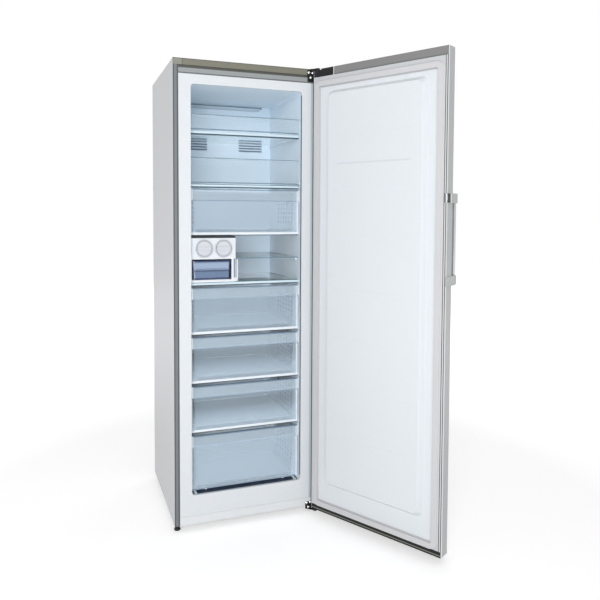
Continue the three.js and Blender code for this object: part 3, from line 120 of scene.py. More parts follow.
# Matt white paint, with a glow that only the eye meets: shadows stay near the freezer, and
# from 1.4 to 4 m out the floor rises to the white of the world.
floor_mesh = bpy.data.meshes.new("floor")
floor_mesh.from_pydata([(-9, -9, 0), (9, -9, 0), (9, 9, 0), (-9, 9, 0)], [], [(0, 1, 2, 3)])
floor = bpy.data.objects.new("floor", floor_mesh)
bpy.context.scene.collection.objects.link(floor)
floor_paint = bpy.data.materials.new("floor_white")
floor_paint.use_nodes = True
tree = floor_paint.node_tree
tree.nodes.clear()
place = put(tree, "ShaderNodeTexCoord")
away = put(tree, "ShaderNodeVectorMath", {0: place.outputs["Object"]}, operation="LENGTH")
rising = put(tree, "ShaderNodeMapRange", {"Value": away.outputs["Value"], "From Min": 1.4,
                                          "From Max": 4.0, "To Min": 0.42, "To Max": 1.0})
matt = put(tree, "ShaderNodeBsdfDiffuse", {"Color": linear("#e7e7e7")})
glow = put(tree, "ShaderNodeEmission", {"Color": white, "Strength": rising.outputs[0]})
nothing = put(tree, "ShaderNodeEmission", {"Strength": 0.0})
lit = put(tree, "ShaderNodeMixShader", {0: sees_room(tree), 1: nothing.outputs[0],
                                        2: glow.outputs[0]})
both = put(tree, "ShaderNodeAddShader", {0: matt.outputs[0], 1: lit.outputs[0]})
put(tree, "ShaderNodeOutputMaterial", {"Surface": both.outputs[0]})
floor_mesh.materials.append(floor_paint)

# Each lamp: its place, its width in metres and its power in watts.
for name, spot, size, power in (("lamp_front", (-1.8, -4.1, 2.4), 2.2, 94),
                                ("lamp_low", (-1.4, -3.3, 0.15), 1.6, 56),
                                ("lamp_left", (-3.2, 1.9, 0.6), 2.2, 14),
                                ("lamp_back", (2.6, 3.0, 2.4), 2.4, 22)):
    lamp_data = bpy.data.lights.new(name, "AREA")
    lamp_data.shape = "DISK"
    lamp_data.size = size
    lamp_data.energy = power
    lamp = bpy.data.objects.new(name, lamp_data)
    lamp.location = spot
    aim = Vector((middle, 0, 0.95)) - lamp.location
    lamp.rotation_euler = aim.to_track_quat("-Z", "Y").to_euler()
    bpy.context.scene.collection.objects.link(lamp)


# ------------------------------------------------------------------------------------------
# Side panels and top: sheet steel with a silver lacquer, rolled smooth, folded
# before painting. The side panels' narrow front flange is painted a dull dark grey for the dark
# reflection it shows, with painted shade along both its edges.
def surface(name, colour, roughness, metallic=0.0, **sockets):
    """A material with one Principled shader; returns it with its tree and shader."""
    made = bpy.data.materials.new(name)
    made.use_nodes = True
    shader = made.node_tree.nodes["Principled BSDF"]
    shader.inputs["Base Color"].default_value = linear(colour)
    shader.inputs["Roughness"].default_value = roughness
    shader.inputs["Metallic"].default_value = metallic
    for socket, value in sockets.items():
        shader.inputs[socket.replace("_", " ")].default_value = value
    return made, made.node_tree, shader


def grain(tree, shader, colour, shade, size, depth, detail=3.0):
    """Noise of cells `size` metres wide mixes colour with shade and lifts the surface by depth."""
    place = put(tree, "ShaderNodeTexCoord")
    noise = put(tree, "ShaderNodeTexNoise", {"Vector": place.outputs["Object"], "Scale": 1 / size,
                                             "Detail": detail, "Roughness": 0.55})
    mix = put(tree, "ShaderNodeMix", {"Factor": noise.outputs["Fac"], "A": linear(colour),
                                      "B": linear(shade)}, data_type="RGBA")
    tree.links.new(mix.outputs["Result"], shader.inputs["Base Color"])
    bump = put(tree, "ShaderNodeBump", {"Height": noise.outputs["Fac"], "Distance": depth,
                                        "Strength": 0.5})
    tree.links.new(bump.outputs["Normal"], shader.inputs["Normal"])


def within(tree, axis, low, high, soft=0.3 * mm):
    """1 where the Object coordinate along an axis lies between low and high, 0 outside, with
    `soft` on both sides of each limit. The axis is X, Y or Z, or a direction (x, y, z). A
    limit that stands for a piece's own edge goes 1 mm past it."""
    axis = {"X": (1, 0, 0), "Y": (0, 1, 0), "Z": (0, 0, 1)}.get(axis, axis)
    place = put(tree, "ShaderNodeTexCoord")
    along = put(tree, "ShaderNodeVectorMath", {0: place.outputs["Object"], 1: axis},
                operation="DOT_PRODUCT").outputs["Value"]
    rise = put(tree, "ShaderNodeMapRange", {"Value": along, "From Min": low - soft,
                                            "From Max": low + soft})
    fall = put(tree, "ShaderNodeMapRange", {"Value": along, "From Min": high + soft,
                                            "From Max": high - soft})
    return put(tree, "ShaderNodeMath", {0: rise.outputs[0], 1: fall.outputs[0]},
               operation="MULTIPLY").outputs[0]


def joined(tree, how, first, *rest):
    """Factors joined two by two: MULTIPLY where all hold, MAXIMUM where any does."""
    for factor in rest:
        first = put(tree, "ShaderNodeMath", {0: first, 1: factor}, operation=how).outputs[0]
    return first


def paint_over(tree, shader, factor, colour, socket="Base Color"):
    """Lays a colour, or for another socket a value, over what the socket has so far."""
    taken = shader.inputs[socket]
    before = taken.links[0].from_socket if taken.links else taken.default_value
    if socket == "Base Color":
        mix = put(tree, "ShaderNodeMix", {"Factor": factor, "B": linear(colour)}, data_type="RGBA")
        tree.links.new(before, mix.inputs["A"])
        tree.links.new(mix.outputs["Result"], taken)
    else:
        mix = put(tree, "ShaderNodeMix", {"Factor": factor, "A": before, "B": colour})
        tree.links.new(mix.outputs[0], taken)


def wear(material, *names):
    """Puts a material on CAD nodes, in place of what they had."""
    for name in names:
        slots = frame["nodes"][name].data.materials
        slots.clear()
        slots.append(material)


# Silver lacquer: an even light grey with a broad satin sheen. Its flake is far finer than a
# pixel, so the grain is drawn 0.9 mm wide.
lacquer, tree, shader = surface("silver_lacquered_steel", "#c5c6c8", 0.42, 0.2)
grain(tree, shader, "#cbccce", "#c2c3c5", 0.9 * mm, 0.02 * mm)
wear(lacquer, "top_plate")
# The same lacquer; its flange is painted a dull dark grey without metal, as painted reflection.
flanged, tree, shader = surface("silver_lacquered_steel_with_painted_shade_on_flange", "#c5c6c8", 0.42, 0.2)
grain(tree, shader, "#cbccce", "#c2c3c5", 0.9 * mm, 0.02 * mm)
flange = within(tree, "Y", front - 1 * mm, front + 1.2 * mm)
paint_over(tree, shader, flange, "#6f7478")
paint_over(tree, shader, flange, 0.0, "Metallic")
paint_over(tree, shader, flange, 0.6, "Roughness")
# Painted shade: dark lines in the gap by the liner and on the flange's rounded outer fold.
edge_shade_half = 2.6 * mm
for edge in (295.5, 280):                   # mm from the middle: outer and inner edge
    for side in (-1, 1):
        edge_shade_x = middle + side * edge * mm
        joint = within(tree, "X", edge_shade_x - edge_shade_half, edge_shade_x + edge_shade_half)
        paint_over(tree, shader, joined(tree, "MULTIPLY", flange, joint), "#4a4e51")
wear(flanged, "side_panel_left", "side_panel_right")


# ------------------------------------------------------------------------------------------
# Trims across the front, clipped on: moulded grey-brown band, light grey rail under it with a
# shadow gap along its top, grey cap on the door, and a white enamelled rail along the bottom.
# The cap is black as far as the hinge block reaches, with a pale line where the grey begins.

# Masks on the door run along its own two directions, counted from the hinge pin. A mask that
# is open on one side has its limit a metre past the piece.
past = 1.0
hinge_joint = next(joint for joint in frame["joints"] if joint["name"] == "door_hinge")
pin = np.array(hinge_joint["pos_m"][:2])
opened = np.radians(-hinge_joint["range_deg"][0])
door_out = (-np.cos(opened), -np.sin(opened), 0)          # from the hinge to the free edge
door_in = (-np.sin(opened), np.cos(opened), 0)            # from the skin to the liner
pin_out, pin_in = (pin @ np.array(way[:2]) for way in (door_out, door_in))
# ABS from an eroded mould: a matt warm grey-brown, edged dark. The mould's grain, 0.1 mm wide,
# is drawn at 0.8 mm on all these trims.
band, tree, shader = surface("grey_brown_abs", "#747368", 0.5)
grain(tree, shader, "#787769", "#6d6c60", 0.8 * mm, 0.05 * mm)
band_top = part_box("top_front_band")[1].z
band_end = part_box("top_front_band")[0].x
corner_piece = band_end + 34 * mm           # a paler end piece, with a dark joint beside it
paint_over(tree, shader, within(tree, "X", band_end - 1 * mm, corner_piece), "#84857b")
paint_over(tree, shader, within(tree, "X", corner_piece - 1 * mm, corner_piece + 2 * mm), "#4d4e47")
paint_over(tree, shader, within(tree, "Z", band_top - 3 * mm, band_top + 1 * mm), "#56574f")
wear(band, "top_front_band")
# The same in neutral grey: dull, with painted shade along its lower edge.
cap, tree, shader = surface("grey_abs_cap", "#868686", 0.45)
grain(tree, shader, "#828283", "#79797a", 0.8 * mm, 0.05 * mm)
cap_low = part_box("door_top_cap")[0].z
# Painted shade along the cap's lower edge.
paint_over(tree, shader, within(tree, "Z", cap_low - 1 * mm, cap_low + 5 * mm), "#6c6d6e")
black_end = pin_out + 88 * mm
paint_over(tree, shader, within(tree, door_out, black_end, black_end + 4 * mm), "#cfd0d0")
paint_over(tree, shader, within(tree, door_out, pin_out - past, black_end), "#0f0f11")
wear(cap, "door_top_cap")
# Satin ABS, lighter and cooler than the band over it; painted shade fills the shadow gap along
# its top, and a dark line runs along its foot.
rail, tree, shader = surface("light_grey_abs", "#8f9494", 0.45)
grain(tree, shader, "#939899", "#8a8f8f", 0.8 * mm, 0.05 * mm)
rail_low, rail_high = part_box("top_cross_rail")[0].z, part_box("top_cross_rail")[1].z
# Painted shade in the recessed shadow gap along the rail's top.
paint_over(tree, shader, within(tree, "Z", rail_high - 10.2 * mm, rail_high + 1 * mm), "#484945")
paint_over(tree, shader, within(tree, "Z", rail_low - 1 * mm, rail_low + 4.5 * mm), "#5f6467")
wear(rail, "top_cross_rail")
# Baked enamel: smooth, slightly grey white with a soft highlight and no texture to see.
kick, tree, shader = surface("white_enamelled_steel", "#d8dbdd", 0.34)
grain(tree, shader, "#dbdee0", "#d4d7db", 3 * mm, 0.03 * mm)
wear(kick, "bottom_cross_rail")

# ------------------------------------------------------------------------------------------
# Liner: white high-impact polystyrene, vacuum-formed from one sheet. Inside the opening, painted
# light makes the walls a lighter, cooler white than the flange round it. Painted shade darkens
# the right edge of the mouth and the sill under the bottom drawer, and greys the strip beside
# the hinge.

# Formed sheet with a half-matt skin: a cool white that takes broad, soft shades.
liner, tree, shader = surface("white_polystyrene", "#d4d8dd", 0.48)
grain(tree, shader, "#d7dbdf", "#d1d5da", 6 * mm, 0.08 * mm, 1.0)
# Painted light: the walls inside the opening are lighter and bluer.
painted_light_inside = within(tree, "Y", front + 10 * mm, front + past, 6 * mm)
paint_over(tree, shader, painted_light_inside, "#e9f5ff")
# Painted shade along the right edge of the mouth.
mouth_edge_shade = joined(tree, "MULTIPLY", within(tree, "Y", front + 3 * mm, front + 14 * mm, 1 * mm),
                    within(tree, "X", middle + 228 * mm, middle + 231 * mm),
                    within(tree, "Z", 160 * mm, 1745 * mm))
paint_over(tree, shader, mouth_edge_shade, "#43566a")
# Painted shade on the sill under the bottom drawer's front and beside it at both ends.
sill_shade = joined(tree, "MULTIPLY", within(tree, "Y", front + 10 * mm, front + 46 * mm),
              within(tree, "Z", 139 * mm, 144.5 * mm))
for low, high, shade in ((-205, 205, "#1d2b42"),         # under the drawer's front
                         (-230, -216, "#11161d"),        # and beside it at both ends
                         (216, 230, "#11161d")):
    stretch = within(tree, "X", middle + low * mm, middle + high * mm)
    paint_over(tree, shader, joined(tree, "MULTIPLY", sill_shade, stretch), shade)
# Painted shade: the flange's strip beside the hinge, greyer.
hinge_strip_shade = joined(tree, "MULTIPLY", within(tree, "Y", front - 2 * mm, front + 0.6 * mm),
                     within(tree, "X", middle + 268 * mm, middle + 280 * mm, 2 * mm))
paint_over(tree, shader, hinge_strip_shade, "#aebcc2")
wear(liner, "inner_liner")

# ------------------------------------------------------------------------------------------
# Back wall of the compartments: a cover moulded in pale blue polystyrene, clipped in over the
# evaporator. Behind the slot under the ceiling a scoop of the same plastic leads the air down.

# Tinted polystyrene: a cool, very light blue, with slate lines where the louvres shade it.
cover, tree, shader = surface("pale_blue_polystyrene", "#e0f1ff", 0.4)
grain(tree, shader, "#e2f2ff", "#dceefc", 1.0 * mm, 0.06 * mm)
cover_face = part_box("evaporator_cover")[0].y
hood_edge = within(tree, "Y", front, cover_face + 3 * mm)          # lips of the louvres
slot_depth = within(tree, "Y", cover_face + 8.4 * mm, front + past)     # inside the slots
paint_over(tree, shader, hood_edge, "#7b91a1")
paint_over(tree, shader, slot_depth, "#5d707d")
wear(cover, "evaporator_cover")


def at(shape, x, y, z):
    """Moves a shape by x from the cabinet's middle, y from its front, z from the floor, in mm."""
    return np.asarray(shape) + np.array([middle + x * mm, front + y * mm, z * mm])


def shells(name, grids, material, body):
    """One object of closed shells. Each grid (rows, points, 3) is joined round each row and
    from row to row, with a face over its first and last row unless they meet, and all faces
    are turned outwards."""
    points, faces = [], []
    total = 0
    for grid in grids:
        rows, count = grid.shape[:2]
        index = total + np.arange(rows * count).reshape(rows, count)
        ahead = np.roll(index, -1, axis=1)
        quads = np.stack([index[:-1], ahead[:-1], ahead[1:], index[1:]], axis=2)
        faces += quads.reshape(-1, 4).tolist()
        if not np.allclose(grid[0], grid[-1]):
            faces += [index[0].tolist(), index[-1].tolist()]
        points.append(grid.reshape(-1, 3))
        total += rows * count
    mesh = bpy.data.meshes.new(name)
    mesh.from_pydata(np.concatenate(points).tolist(), [], faces)
    shape = bmesh.new()
    shape.from_mesh(mesh)
    bmesh.ops.remove_doubles(shape, verts=shape.verts, dist=1e-7)
    bmesh.ops.recalc_face_normals(shape, faces=shape.faces)
    shape.to_mesh(mesh)
    shape.free()
    mesh.materials.append(material)
    piece = bpy.data.objects.new(name, mesh)
    bpy.context.scene.collection.objects.link(piece)
    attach(piece, body)
    return piece


# The same plastic further back, with painted shade: a little greyer, darker under the ceiling
# and at its right end.
scoop_blue, tree, shader = surface("shaded_blue_polystyrene", "#cfe1ee", 0.45)
grain(tree, shader, "#d2e4f1", "#cadbe9", 1.0 * mm, 0.06 * mm)
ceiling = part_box("evaporator_cover")[1].z
# Painted shade under the ceiling and at the scoop's right end.
paint_over(tree, shader, within(tree, "Z", ceiling - 9 * mm, ceiling), "#7d92a2")
paint_over(tree, shader, within(tree, "X", middle + 181 * mm, middle + 187 * mm), "#66757f")
# A sheet 2 mm thick and 372 mm wide: 26 * s further down it lies 16 * s ** 1.6 further back.
s = np.linspace(0, 1, 9)
drop = -3 - 26 * s
front_face = np.stack([4 + 16 * s ** 1.6, drop], axis=1)
back_face = np.stack([6 + 16 * s ** 1.6, drop], axis=1)
outline = np.concatenate([front_face, back_face[::-1]]) * mm
scoop = np.stack([np.insert(outline, 0, x, axis=1) for x in (-186 * mm, 186 * mm)])
shells("return_air_scoop", [at(scoop, 0, (cover_face - front) / mm, ceiling / mm)], scoop_blue,
       "cabinet")

# ------------------------------------------------------------------------------------------
# Shelves: toughened float glass with white moulded trims snapped over the front edge. The
# trims have painted shade along their foot; those of shelves 4, 6 and 7 are cooler over
# their lowest 18 mm, 4 and 6 with a second line there.

# Clear and mirror-smooth, nearly unseen from the front but for its dull blue-green edge.
glass, tree, shader = surface("float_glass", "#dcece8", 0.03, Alpha=0.12)
grain(tree, shader, "#dfeeea", "#d6e8e3", 40 * mm, 0.01 * mm, 1.0)
glass_edge = within(tree, "Y", front + 30 * mm, front + 42 * mm)
paint_over(tree, shader, glass_edge, "#6c8c9b")
paint_over(tree, shader, glass_edge, 0.9, "Alpha")
wear(glass, *[f"shelf_glass_{i}" for i in range(1, 8)])
wear(glass, "side_shelf")
# Polished ABS: a clear bluish white, with a narrow highlight along the round front.
trim, tree, shader = surface("white_abs_trim", "#e0e7ee", 0.28)
grain(tree, shader, "#e3eaf0", "#dde4ec", 4 * mm, 0.04 * mm, 1.0)
for i in (4, 6, 7):
    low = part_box(f"shelf_trim_{i}")[0].z
    paint_over(tree, shader, within(tree, "Z", low - 1 * mm, low + 18 * mm), "#cbdde8")
# Painted shade along each trim's foot, this many mm high.
foot_heights = (3, 3, 3, 3.2, 3.2, 4.4, 4.4)              # mm, trims 1 to 7
for i, foot_height in enumerate(foot_heights, 1):
    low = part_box(f"shelf_trim_{i}")[0].z
    foot_shade = within(tree, "Z", low - 1 * mm, low + foot_height * mm)
    paint_over(tree, shader, foot_shade, "#34505a" if i > 5 else "#25333f")
    if i in (4, 6):
        paint_over(tree, shader, within(tree, "Z", low + 12 * mm, low + 15.5 * mm), "#4f716f")
wear(trim, *[f"shelf_trim_{i}" for i in range(1, 8)])

# ------------------------------------------------------------------------------------------
# Drawers and flaps: clear polystyrene, injection-moulded, faintly blue. The drawers' fronts,
# in the first 35 mm behind the cabinet's front, have a paler hood over the pane, partly from its
# double wall and partly painted light, and painted light over the foot of each pane. The walls
# are thin; the tub floors are painted lighter and more opaque, as painted light.
def cast_less(tree, shader, share=0.08):
    """Clear plastic casts a faint shadow: light on its way through meets a share of the Alpha."""
    before = shader.inputs["Alpha"].links[0].from_socket
    ray = put(tree, "ShaderNodeLightPath")
    light = joined(tree, "MAXIMUM", ray.outputs["Is Shadow Ray"], ray.outputs["Is Diffuse Ray"])
    faint = put(tree, "ShaderNodeMapRange", {"Value": light, "To Min": 1.0, "To Max": share})
    thinned = put(tree, "ShaderNodeMath", {0: before, 1: faint.outputs[0]}, operation="MULTIPLY")
    tree.links.new(thinned.outputs[0], shader.inputs["Alpha"])


# From a polished mould: what stands behind shows through, and rims and edges gather the
# light and look slate blue. Its faint waves are 9 mm wide.
clear, tree, shader = surface("clear_polystyrene", "#d3e8fa", 0.12, Alpha=0.08)
grain(tree, shader, "#d6eafb", "#cee4f7", 9 * mm, 0.05 * mm, 1.0)
drawer_front = within(tree, "Y", front, front + 35.2 * mm)
pane_alphas = (0.3, 0.1, 0.1, 0.2, 0.3)                   # drawers 1 to 5
# Painted light: more opacity over the foot of each pane, so it reads paler.
lit_foot_alphas = (0.3, 0.34, 0.3, 0.24, 0.28)                # the foot of each pane
lowest_rim = (3.5, 1.5, 1.5, 1.5, 1.5)                    # mm, its bottom edge
hoods, rims, lit_floors = [], [], []
for i, pane_alpha, lit_foot_alpha, rim_height in zip(range(1, 6), pane_alphas, lit_foot_alphas, lowest_rim):
    low, high = (corner.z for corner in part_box(f"drawer_{i}"))
    hoods.append(within(tree, "Z", high - 44 * mm, high + 1 * mm))
    rims.append(within(tree, "Z", high - 3.2 * mm, high + 1 * mm))
    rims.append(within(tree, "Z", high - 46 * mm, high - 43.4 * mm))
    rims.append(within(tree, "Z", low - 1 * mm, low + rim_height * mm))
    lit_floors.append(within(tree, "Z", low - 1 * mm, low + 6.5 * mm))
    pane = joined(tree, "MULTIPLY", drawer_front, within(tree, "Z", low, high))
    paint_over(tree, shader, pane, pane_alpha, "Alpha")
    # Painted light over the foot of each pane.
    lit_foot = joined(tree, "MULTIPLY", drawer_front,
                  within(tree, "Z", low - 50 * mm, low + 46 * mm, 40 * mm))
    paint_over(tree, shader, lit_foot, lit_foot_alpha, "Alpha")
# The hood: paler and more opaque, partly for its double wall and partly as painted light.
hood = joined(tree, "MULTIPLY", joined(tree, "MAXIMUM", *hoods), drawer_front)
paint_over(tree, shader, hood, "#cddfee")
paint_over(tree, shader, hood, 0.19, "Alpha")
# Painted light: the tub floors, lighter and more opaque.
lit_tub_floor = joined(tree, "MULTIPLY", joined(tree, "MAXIMUM", *lit_floors),
                   within(tree, "Y", front + 46 * mm, front + past))
paint_over(tree, shader, lit_tub_floor, "#e0eefa")
paint_over(tree, shader, lit_tub_floor, 0.6, "Alpha")
rim = joined(tree, "MULTIPLY", joined(tree, "MAXIMUM", *rims), drawer_front)
paint_over(tree, shader, rim, "#7d93a8")
paint_over(tree, shader, rim, 0.85, "Alpha")
foot_line = joined(tree, "MULTIPLY", drawer_front,        # thick foot of the bottom drawer
                   within(tree, "Z", 140 * mm, 151.6 * mm),
                   within(tree, "X", middle - 205 * mm, middle + 205 * mm))
paint_over(tree, shader, foot_line, "#a9bccd")
paint_over(tree, shader, foot_line, 0.95, "Alpha")
ends = []
for end_x in (middle - 224 * mm, middle + 224 * mm):
    ends.append(within(tree, "X", end_x - 3.5 * mm, end_x + 3.5 * mm))
end = joined(tree, "MULTIPLY", joined(tree, "MAXIMUM", *ends), drawer_front)
paint_over(tree, shader, end, "#e6eff6")
paint_over(tree, shader, end, 0.6, "Alpha")
cast_less(tree, shader)
wear(clear, *[f"drawer_{i}" for i in range(1, 6)])
# Thinner and flatter than the drawers: a grey-blue veil with dark top and bottom edges.
thin, tree, shader = surface("clear_polystyrene_sheet", "#b5c9d8", 0.12, Alpha=0.15)
grain(tree, shader, "#b9ccda", "#b0c5d4", 9 * mm, 0.05 * mm, 1.0)
for name in ("flap_top", "flap_second"):
    low, high = (corner.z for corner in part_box(name))
    flap_edge = joined(tree, "MAXIMUM", within(tree, "Z", high - 1.8 * mm, high + 1 * mm),
                       within(tree, "Z", low - 1 * mm, low + 4 * mm))
    paint_over(tree, shader, flap_edge, "#728a9a")
    paint_over(tree, shader, flap_edge, 0.9, "Alpha")
cast_less(tree, shader)
wear(thin, "flap_top", "flap_second")

# ------------------------------------------------------------------------------------------
# Slanted polystyrene ribs on the drawers' side walls, moulded with them round the air slots and
# painted near black for the shade seen in those slots, and dark nylon catches that stop drawers
# 2 to 5, screwed to the liner on both sides.
def rounded(width, height, radius, count=32):
    """Rectangle with round corners: corner centres plus radius * (cos t, sin t)."""
    t = (np.arange(count) + 0.5) * 2 * np.pi / count
    return np.stack([(width / 2 - radius) * np.sign(np.cos(t)) + radius * np.cos(t),
                     (height / 2 - radius) * np.sign(np.sin(t)) + radius * np.sin(t)], axis=1)


def block(size, radius, edge, steps=3, count=32):
    """Block about the origin, drawn along y: rounded outlines that shrink at both ends, by
    edge * (1 - sin a) at the depth edge * (1 - cos a), a from 0 to 90 degrees."""
    a = np.linspace(0, np.pi / 2, steps + 1)
    inset = edge * (1 - np.sin(a))
    depth = edge * (1 - np.cos(a))
    inset = np.concatenate([inset, inset[::-1]])
    y = np.concatenate([depth, size[1] - depth[::-1]]) - size[1] / 2
    smallest = 0.05 * mm
    rings = [np.insert(rounded(size[0] - 2 * k, size[2] - 2 * k, max(radius - k, smallest), count),
                       1, height, axis=1) for k, height in zip(inset, y)]
    return np.array(rings)


# Painted shade of the air slots on the ribs: a dark slate, without a highlight.
ribbed, tree, shader = surface("rib_with_painted_slot_shade", "#122130", 0.8, Specular_IOR_Level=0.05)
grain(tree, shader, "#152535", "#0f1c2a", 4 * mm, 0.05 * mm, 1.0)
# Nylon, dull as moulded: small, nearly black marks.
nylon, tree, shader = surface("dark_grey_nylon", "#0a1017", 0.8, Specular_IOR_Level=0.05)
grain(tree, shader, "#0d141c", "#080d13", 1 * mm, 0.05 * mm)
# A rib is 1.4 mm thick, 16 mm long and 12 mm high, turned about x by the tilt: y to
# y cos - z sin, z to y sin + z cos. Five rows stand 19 mm apart, with a rib every 34 mm.
tilt = 0.3
rib = block((1.4 * mm, 16 * mm, 12 * mm), 0.6 * mm, 0.5 * mm, steps=1, count=8)
rib = np.stack([rib[..., 0], rib[..., 1] * np.cos(tilt) - rib[..., 2] * np.sin(tilt),
                rib[..., 1] * np.sin(tilt) + rib[..., 2] * np.cos(tilt)], axis=-1)
for i in range(1, 6):
    low, high = (corner.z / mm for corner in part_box(f"drawer_{i}"))
    centre = (low + high) / 2 - 8
    y, z = np.meshgrid(np.arange(66, 240, 34), centre + np.array([-38, -19, 0, 19, 38]))
    y, z = y.ravel(), z.ravel()
    # The wall stands 213 mm from the middle at its top, 6 mm less at the floor.
    wall = 213 - 6 * (1 - (z - low) / (high - 6 - low)) + 0.5
    ribs = [at(rib, side * x, yy, zz) for side in (-1, 1) for x, yy, zz in zip(wall, y, z)]
    shells(f"drawer_{i}_ribs", ribs, ribbed, f"drawer_{i}")
# A catch is a wedge, seen from the side (y, z) in mm, between the drawer's wall and the liner.
wedge = np.array([[0, 0], [34, 0], [34, 24], [24, 24], [0, 6]]) * mm
catches = []
for i in range(2, 6):
    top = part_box(f"drawer_{i}")[1].z / mm
    for left, right in ((-229, -218.5), (218.5, 229)):
        catch = np.stack([np.insert(wedge, 0, x * mm, axis=1) for x in (left, right)])
        catches.append(at(catch, 0, 124, top - 66))
shells("drawer_catches", catches, nylon, "cabinet")

# ------------------------------------------------------------------------------------------
# Ice maker: white moulded housing with painted shade along its top, by the gap there, two glossy
# knobs each ringed by a grey line of painted shade, on milky trays, and a slate-blue bucket whose
# front has a darker frame. A white post, pushed on, stands between the trim below and the small
# glass shelf.
def ease(width, *names, angle=35):
    """Rounds a CAD node's edges: weld its triangles, dissolve flat faces, bevel the rest."""
    for name in names:
        part = frame["nodes"][name]
        weld = part.modifiers.new("weld", "WELD")
        weld.merge_threshold = 1e-6
        flat = part.modifiers.new("flat", "DECIMATE")
        flat.decimate_type = "DISSOLVE"
        flat.angle_limit = np.radians(1)
        round_edge = part.modifiers.new("round", "BEVEL")
        round_edge.width = width
        round_edge.segments = 2
        round_edge.limit_method = "ANGLE"
        round_edge.angle_limit = np.radians(angle)


def turned(profile, count=32):
    """Profile of (radius, y) turned about the y axis: (r cos t, y, r sin t)."""
    r, y = np.array(profile, float).T[:, :, None]
    t = np.arange(count) * 2 * np.pi / count
    return np.stack([r * np.cos(t), y + 0 * t, r * np.sin(t)], axis=2)


# Satin ABS: a shade greyer than the trims, with soft edges.
housing, tree, shader = surface("white_abs_housing", "#dbdfe4", 0.32)
grain(tree, shader, "#dee2e7", "#d7dce1", 3 * mm, 0.04 * mm, 1.0)
housing_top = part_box("ice_housing")[1].z
housing_front = within(tree, "Y", front, front + 40 * mm)
# Painted shade: a dark band along the top of the housing's front, by the gap over it.
top_gap_shade = within(tree, "Z", housing_top - 7 * mm, housing_top + 1 * mm)
paint_over(tree, shader, joined(tree, "MULTIPLY", top_gap_shade, housing_front), "#14191d")
housing_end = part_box("ice_housing")[1].x
# Painted shade in the groove beside the bucket and along the housing's right edge.
for inner, outer, shade in ((13.5, 8.5, "#5f7194"),       # groove beside the bucket
                            (1.8, -1, "#3a4763")):        # and the housing's right edge
    stripe = joined(tree, "MULTIPLY", housing_front,
                    within(tree, "X", housing_end - inner * mm, housing_end - outer * mm),
                    within(tree, "Z", 1003 * mm, 1080 * mm))
    paint_over(tree, shader, stripe, shade)
wear(housing, "ice_housing")
ease(0.8 * mm, "ice_housing")
# Frosted in the mould: milky, with hardly a reflection.
frosted, tree, shader = surface("frosted_polystyrene", "#dfe6ee", 0.4, Alpha=0.8)
grain(tree, shader, "#e1e8ef", "#dae2eb", 5 * mm, 0.05 * mm)
wear(frosted, "ice_tray_left", "ice_tray_right")
# Glossy ABS: light grey-white, with a clear round highlight.
gloss, tree, shader = surface("white_gloss_abs", "#cacdd3", 0.25)
grain(tree, shader, "#cdd0d6", "#c7cad0", 2 * mm, 0.02 * mm)
wear(gloss, "ice_knob_left", "ice_knob_right")
# A fine mid-grey ring of painted shade, for the gap that sets the knob off from the housing.
gap_shade_grey, tree, shader = surface("knob_gap_shade_ring", "#767c85", 0.35)
grain(tree, shader, "#7a8089", "#70767f", 1 * mm, 0.03 * mm)
ring_profile = np.array([[31.4, 0.6], [31.4, -0.9], [32.4, -0.9], [32.4, 0.6], [31.4, 0.6]]) * mm
for side in ("left", "right"):
    low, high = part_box(f"ice_knob_{side}")
    x = ((low.x + high.x) / 2 - middle) / mm
    z = (low.z + high.z) / 2 / mm
    y = (low.y - front) / mm
    shells(f"knob_ring_{side}", [at(turned(ring_profile, 48), x, y, z)], gap_shade_grey,
           f"ice_twist_{side}")
# Tinted clear plastic: slate blue with a gloss. Painted light makes its upper part lightest; it
# is darkest round the rim, and under the grip with painted shade.
blue, tree, shader = surface("slate_blue_polystyrene", "#6f86a6", 0.15, Alpha=0.75)
grain(tree, shader, "#748bab", "#69809f", 9 * mm, 0.05 * mm, 1.0)
low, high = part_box("ice_bucket")
face = within(tree, "Y", front, front + 34 * mm)
# Painted light on the upper part of the front.
upper = within(tree, "Z", high.z - 36 * mm, high.z - 8 * mm, 4 * mm)
paint_over(tree, shader, joined(tree, "MULTIPLY", face, upper), "#a3b7d0")
# Painted shade under the grip.
grip_shade = joined(tree, "MULTIPLY", face, within(tree, "Z", high.z - 41.5 * mm, high.z - 37.5 * mm))
paint_over(tree, shader, grip_shade, "#3c4f73")
inner = joined(tree, "MULTIPLY", within(tree, "X", low.x + 10 * mm, high.x - 10 * mm),
               within(tree, "Z", low.z + 8 * mm, high.z - 6 * mm))
rim = put(tree, "ShaderNodeMath", {0: face, 1: inner}, operation="SUBTRACT",
          use_clamp=True).outputs[0]
paint_over(tree, shader, rim, "#33446a")
paint_over(tree, shader, rim, 0.95, "Alpha")
wear(blue, "ice_bucket")
post_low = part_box("shelf_trim_4")[1].z / mm + 0.3
post_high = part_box("side_shelf")[0].z / mm - 0.3
post = block((13.5 * mm, 12 * mm, (post_high - post_low) * mm), 1.5 * mm, 1 * mm)
shells("side_shelf_post", [at(post, -37.6, 44, (post_low + post_high) / 2)], housing,
       "cabinet")

# ------------------------------------------------------------------------------------------
# Door: white liner, vacuum-formed, with shallow grooves across and greyer at top and bottom
# beside the soft seal. The silver steel skin folds over the inner face in a narrow lip. A
# black cap closes the bottom, and a black hinge block sits in the top cap.

